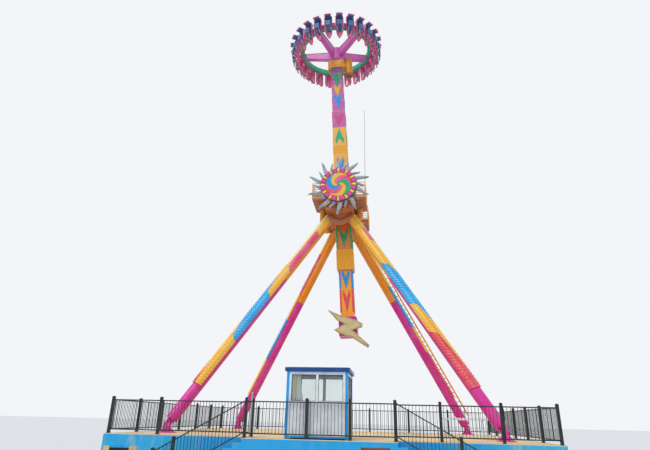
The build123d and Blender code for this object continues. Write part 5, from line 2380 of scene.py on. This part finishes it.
@dataclass
class Platform:
    """The platform's stair nosings, vent, hatch and small deck fittings; an opening is two of its corners."""

    fittings: Draft = anew(Draft, "vent_and_hatch_fittings")
    caps: Draft = anew(Draft, "deck_fitting_caps")
    wing_front: float = -7.175
    landing_front: float = -8.165
    risers: int = 10
    tread: float = 0.315
    landing_half: float = 2.65
    nosing_ribs: int = 3
    nosing_pitch: float = 0.017
    vent: Sequence[float] = (-8.08, 0.66, -7.04, 1.28)
    hatch: Sequence[float] = (1.42, 0.36, 2.38, 1.51)
    jambs: Flats = ((-8.156, -7.92), (-7.15, -6.86))
    frame_width: float = 0.06
    louvres: int = 10
    louvre_tilt: float = radians(-38)
    post_place: Flat = (-2.618, -7.25)
    post_cap: Flats = ((0.036, 1.48), (0.038, 1.5), (0.03, 1.52), (0.006, 1.53))
    post_flange: Flats = ((0.034, 0.0), (0.07, 0.0), (0.07, 0.01), (0.034, 0.016))
    barrier_row: float = -6.1
    barrier_feet: Flat = (4.46, 5.72)
    barrier_ends: Flat = (4.24, 5.94)

    def nosings(self) -> None:
        """Adds a ribbed metal strip to each step's edge."""
        draft = Draft("stair_nosings")
        start, end = self.landing_front + 0.02, self.wing_front - 0.02
        for side in (-1, 1):
            at = Matrix.Diagonal((side, 1.0, 1.0, 1.0))
            for step in range(self.risers):
                z = DECK * (1 - step / self.risers)
                for k in range(self.nosing_ribs):
                    x = self.landing_half + self.tread * step - 0.006 - self.nosing_pitch * k
                    draft.box((x - 0.011, start, z), (x, end, z + 0.005), Coat.STEEL, at)
        draft.build("structure", "grey_steel")

    def frames(self) -> None:
        """Makes the vent's and the hatch's frames and the cream jambs beside the vent."""
        draft = Draft("wall_opening_frames")
        width = self.frame_width
        wall = facing((0, self.wing_front, 0), (1, 0, 0))
        landing = facing((0, self.landing_front, 0), (1, 0, 0))
        for corners, at, coat in ((self.vent, wall, Coat.PLATFORM), (self.hatch, landing, Coat.BROWN)):
            outline = rectangle(*corners)
            draft.border(outline, width, -width, -0.001, coat, at)
            draft.border(inset(outline, width - 0.004), 0.02, -width, -0.018, coat, at)
        for x0, x1 in self.jambs:
            jamb = rectangle(x0, self.vent[1] - 0.03, x1, self.vent[3])
            draft.prism(jamb, -0.02, 0.008, Coat.TRIM, wall, 0.003)
        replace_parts(draft.build("structure", "trim_cream"), "recess_frames")

    def louvre(self) -> None:
        """Adds the vent's slats and a dark plate behind them, painted shade for the vent's inside."""
        x0, z0, x1, z1 = inset_box(self.vent, self.frame_width)
        y = self.wing_front
        # a dark plate standing in for the shade inside the vent
        self.fittings.box((x0, y + 0.054, z0), (x1, y + 0.058, z1), Coat.DARK)
        half = (x1 - x0) / 2
        for k in range(self.louvres):
            place = ((x0 + x1) / 2, y + 0.03, z0 + (z1 - z0) * (k + 0.5) / self.louvres)
            at = moved(place) @ Matrix.Rotation(self.louvre_tilt, 4, "X")
            self.fittings.box((-half, -0.024, -0.003), (half, 0.024, 0.003), Coat.SLATE, at)

    def hatch_fittings(self) -> None:
        """Adds the hatch's moulding, its hinges and its latch."""
        x0, z0, x1, z1 = self.hatch
        y = self.landing_front + 0.03
        panel = rectangle(*inset_box(self.hatch, 0.1))
        self.fittings.border(panel, 0.035, -0.004, 0.01, Coat.HATCH, facing((0, y, 0), (1, 0, 0)))
        for z in (z0 + 0.25, z1 - 0.25):
            x = x0 + 0.078
            self.fittings.tube([(x, y - 0.006, z - 0.05), (x, y - 0.006, z + 0.05)], 0.012, Coat.STEEL)
        latch = moved((x1 - 0.12, y, (z0 + z1) / 2)) @ Matrix.Rotation(pi / 2, 4, "X")
        knob = [(0.01, -0.002), (0.028, -0.002), (0.028, 0.01), (0.012, 0.02)]
        self.fittings.lathe(knob, Coat.STEEL, latch, 20, True)

    def small_fittings(self) -> None:
        """Caps the entry post and the barrier, and gives them feet."""
        post = moved((*self.post_place, DECK))
        for profile in (self.post_cap, self.post_flange):
            self.caps.lathe(profile, Coat.STEEL, post, 24, True)
        for x in self.barrier_feet:
            at = moved((x, self.barrier_row, DECK))
            self.caps.prism(octagon(0.06, 0.12, 0.02), 0.0, 0.01, Coat.WHITE, at, 0.003)
        for x in self.barrier_ends:
            at = moved((x, self.barrier_row, DECK + 0.76)) @ Matrix.Rotation(pi / 2, 4, "Y")
            self.caps.prism(octagon(0.043, 0.043, 0.008), -0.006, 0.006, Coat.SLATE, at, 0.002)

    def build(self) -> None:
        """Dresses the platform."""
        self.nosings()
        self.frames()
        self.louvre()
        self.hatch_fittings()
        self.small_fittings()
        self.fittings.build("structure", "panel_blue")
        self.caps.build("structure", "grey_steel")


def inset_box(corners: Sequence[float], distance: float) -> tuple[float, float, float, float]:
    """Two corners of a rectangle, moved towards its middle."""
    x0, y0, x1, y1 = corners
    return x0 + distance, y0 + distance, x1 - distance, y1 - distance


# Operator cabin


@dataclass
class Curtain:
    """The gathered curtain behind the cabin's left front pane, and its rod."""

    left: float
    right: float
    depth: float
    top: float
    bottom: float
    head: float
    pleats: int = 7
    columns: int = 84
    rows: int = 24
    top_width: float = 0.36
    flare: float = 0.12
    thickness: float = 0.0012

    def rod(self) -> None:
        """Makes the rod and its hangers."""
        draft = Draft("curtain_rod")
        y, top = self.depth, self.top
        draft.tube([(self.left + 0.09, y, top), (self.right - 0.09, y, top)], 0.009, Coat.STEEL)
        for x in (self.left + 0.2, (self.left + self.right) / 2, self.right - 0.2):
            draft.tube([(x, y, top), (x, y, self.head)], 0.006, Coat.STEEL)
        draft.build("structure", "grey_steel")

    def point(self, fall: float, share: float) -> Point:
        """A point of the cloth.

        Args:
            fall: 0 at its top to 1 at its hem.
            share: 0 at its left edge to 1 at its right one.

        Returns:
            The point.
        """
        width = self.top_width + self.flare * fall**1.5
        wave = sin(share * self.pleats * 2 * pi + 0.5 * sin(3 * fall))
        sag = 0.006 * sin(9 * share) * fall
        z = self.top - 0.008 + (self.bottom - self.top) * fall - sag
        return (self.left + 0.12 + width * share, self.depth + (0.014 + 0.012 * fall) * wave, z)

    def build(self) -> None:
        """Hangs the curtain on its rod; its UV map gives the place across the cloth at its hem's width."""
        self.rod()
        shares = [i / self.columns for i in range(self.columns + 1)]
        spots = [(j / self.rows, share) for j in range(self.rows + 1) for share in shares]
        corners = [self.point(fall, share) for fall, share in spots]
        hem = self.top_width + self.flare
        cloth = [((self.top_width + self.flare * fall**1.5) * share / hem, fall) for fall, share in spots]
        wide = self.columns + 1
        faces = []
        for start in range(0, self.rows * wide, wide):
            for a in range(start, start + self.columns):
                faces.append((a, a + wide, a + wide + 1, a + 1))
        mesh = bpy.data.meshes.new("curtain")
        mesh.from_pydata(corners, [], faces)
        layer = mesh.uv_layers.new(name="cloth")
        for loop in mesh.loops:
            layer.data[loop.index].uv = cloth[loop.vertex_index]
        mesh.materials.append(Coat.CURTAIN.material())
        mesh.polygons.foreach_set("use_smooth", [True] * len(faces))
        curtain = new_piece("curtain", mesh)
        curtain.modifiers.new("thickness", "SOLIDIFY").thickness = self.thickness
        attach(curtain, "structure")
        start = wide * (self.rows // 2)
        middle = [Vector(c) for c in corners[start : start + wide]]
        cut = sum((b - a).length for a, b in zip(middle, middle[1:]))


@dataclass
class Cabin:
    """The cabin's trim, gaskets, roof cap, door fittings and curtain."""

    draft: Draft = anew(Draft, "cabin_trim")
    left: float = -1.2
    right: float = 0.98
    front: float = -8.0
    rear: float = -5.9
    post: float = 0.09
    sill: float = 2.84
    head: float = 3.9
    floor: float = 1.8
    frame_width: float = 0.085
    wall_inset: float = 0.02
    glass_inset: float = 0.041
    roof_top: float = 4.055
    eaves: float = 0.063
    door_width: float = 0.8
    handle_level: float = 2.84
    lever: Flats = ((0.1, 0.005), (0.1, 0.045), (0.12, 0.055), (0.2, 0.055))
    hinge_levels: Sequence[float] = (2.1, 2.85, 3.6)

    def bays(self) -> Iterator[tuple[Matrix, float, float]]:
        """The windowed sides.

        Yields:
            A side's frame on its outer face, and the ends of its bay along it.
        """
        x0, x1 = self.left + self.post, self.right - self.post
        y0, y1 = self.front + self.post, self.rear - self.post
        yield facing((0, self.front + self.wall_inset, 0), (1, 0, 0)), x0, x1
        yield facing((0, self.rear - self.wall_inset, 0), (-1, 0, 0)), -x1, -x0
        yield facing((self.right - self.wall_inset, 0, 0), (0, 1, 0)), y0, y1
        yield facing((self.left + self.wall_inset, 0, 0), (0, -1, 0)), self.door_width - y1, -y0

    def walls(self) -> None:
        """Adds mouldings, gaskets and window sills to each side."""
        half = self.frame_width / 2
        for at, start, end in self.bays():
            panel = rectangle(start, self.floor, end, self.sill)
            self.draft.border(panel, 0.035, -0.004, 0.01, Coat.WHITE, at)
            low, high = (start, self.sill - 0.012, -0.004), (end, self.sill + 0.014, 0.018)
            self.draft.box(low, high, Coat.WHITE, at)
            middle = (start + end) / 2
            for x0, x1 in ((start + 2 * half, middle - half), (middle + half, end - 2 * half)):
                pane = rectangle(x0, self.sill + 2 * half, x1, self.head - 2 * half)
                self.draft.border(pane, 0.014, self.wall_inset - self.glass_inset, 0.003, Coat.GASKET, at)
                self.draft.border(inset(pane, -0.03), 0.022, -0.002, 0.006, Coat.WHITE, at)

    def roof(self) -> None:
        """Adds the roof's low crown and its drip edge."""
        at = moved(((self.left + self.right) / 2, (self.front + self.rear) / 2, self.roof_top))
        half_x, half_y = (self.right - self.left) / 2, (self.rear - self.front) / 2
        self.draft.prism(octagon(half_x, half_y, 0.03), -0.005, 0.012, Coat.ROOF, at, 0.012)
        edge = octagon(half_x + self.eaves, half_y + self.eaves, 0.004)
        self.draft.border(edge, 0.03, -0.128, -0.112, Coat.ROOF, at)

    def door(self) -> None:
        """Adds the door's moulding, handle and hinges."""
        at = facing((self.left + self.wall_inset, 0, 0), (0, -1, 0))
        start = self.post - self.rear
        end = start + self.door_width
        panel = rectangle(*inset_box((start, self.floor, end, self.head), 0.05))
        self.draft.border(panel, 0.03, -0.004, 0.009, Coat.WHITE, at)
        y = self.handle_level
        plate = rectangle(end - 0.12, y - 0.12, end - 0.08, y + 0.06)
        self.draft.prism(plate, -0.003, 0.008, Coat.STEEL, at, 0.003)
        self.draft.tube([(end - reach, y, out) for reach, out in self.lever], 0.009, Coat.STEEL, at)
        x = start + 0.012
        for z in self.hinge_levels:
            self.draft.tube([(x, z - 0.05, 0.012), (x, z + 0.05, 0.012)], 0.011, Coat.STEEL, at)

    def build(self) -> None:
        """Dresses the cabin."""
        self.walls()
        self.roof()
        self.door()
        self.draft.build("structure", "white_paint")
        top, bottom = self.head - 0.05, self.sill + 0.06
        Curtain(self.left, self.right, self.front + 0.13, top, bottom, self.head).build()


# Camera, light and floor


@dataclass
class Studio:
    """The camera at the photograph's angle, soft light and a pale floor."""

    position: Point = (2.439, -25.908, 2.367)
    yaw: float = radians(-7.62)
    pitch: float = radians(21.55)
    roll: float = radians(1.295)
    focal_pixels: float = 490.4
    image_width: float = 650.0
    floor_half: float = 260.0
    lamp_aim: Point = (0.35, 0.62, -0.9)
    lamp_strength: float = 1.25
    lamp_spread: float = radians(28)
    lamp_colour: Point = (1.0, 0.985, 0.96)
    sky_strength: float = 0.82

    def camera(self) -> None:
        """Makes the camera."""
        level = Vector((cos(self.yaw), -sin(self.yaw), 0))
        ahead = Vector((sin(self.yaw), cos(self.yaw), 0))
        forward = ahead * cos(self.pitch) + Vector((0, 0, sin(self.pitch)))
        up = level.cross(forward)
        right = level * cos(self.roll) + up * sin(self.roll)
        top = up * cos(self.roll) - level * sin(self.roll)
        data = bpy.data.cameras.new("viewpoint")
        data.sensor_width = 36.0
        data.lens = self.focal_pixels / self.image_width * data.sensor_width
        data.clip_end = 1000.0
        camera = new_piece("viewpoint", data)
        turn = Matrix((right, top, -forward)).transposed()
        camera.matrix_world = moved(self.position) @ turn.to_4x4()
        bpy.context.scene.camera = camera

    def floor(self) -> None:
        """Makes the floor."""
        half = self.floor_half
        mesh = bpy.data.meshes.new("studio_floor")
        mesh.from_pydata([(x, y, 0) for x, y in rectangle(-half, -half, half, half)], [], [(0, 1, 2, 3)])
        mesh.materials.append(FloorCloth().build())
        new_piece("studio_floor", mesh)

    def light(self) -> None:
        """Makes an even sky, which the camera sees brighter than it lights, and one large soft lamp."""
        world = bpy.data.worlds.new("soft sky")
        bpy.context.scene.world = world
        world.use_nodes = True
        tree = world.node_tree
        seen = tree.nodes["Background"]
        feed(tree, seen.inputs["Color"], "#f3f5f8")
        feed(tree, seen.inputs["Strength"], 1.0)
        lit = add(tree, "Background", {"Color": "#eef2fa", "Strength": self.sky_strength})
        path = add(tree, "LightPath").outputs
        direct = {0: path["Is Camera Ray"], 1: path["Is Glossy Ray"]}
        direct = {0: add(tree, "Math", direct, operation="MAXIMUM"), 1: path["Is Transmission Ray"]}
        share = add(tree, "Math", direct, operation="MAXIMUM")
        both = add(tree, "MixShader", {0: share, 1: lit, 2: seen})
        feed(tree, tree.nodes["World Output"].inputs["Surface"], both)
        data = bpy.data.lights.new("soft lamp", "SUN")
        data.energy = self.lamp_strength
        data.angle = self.lamp_spread
        data.color = self.lamp_colour
        lamp = new_piece("soft lamp", data)
        lamp.rotation_euler = Vector(self.lamp_aim).to_track_quat("-Z", "Y").to_euler()

    def build(self) -> None:
        """Sets up the whole studio."""
        bpy.context.scene.view_settings.view_transform = "Standard"
        self.camera()
        self.floor()
        self.light()
        log.info("studio ready")


def main() -> None:
    """Builds the ride's looks in order."""
    logging.basicConfig(level=logging.INFO, format="%(message)s")
    parts = (Studio, CadFinishes, Legs, Arm, Medallion, Counterweight, Heads, ServiceFloors)
    parts += (Feet, SpinHead, Gondola, Fences, Platform, Cabin)
    for part in parts:
        part().build()


if __name__ == "__main__":
    main()
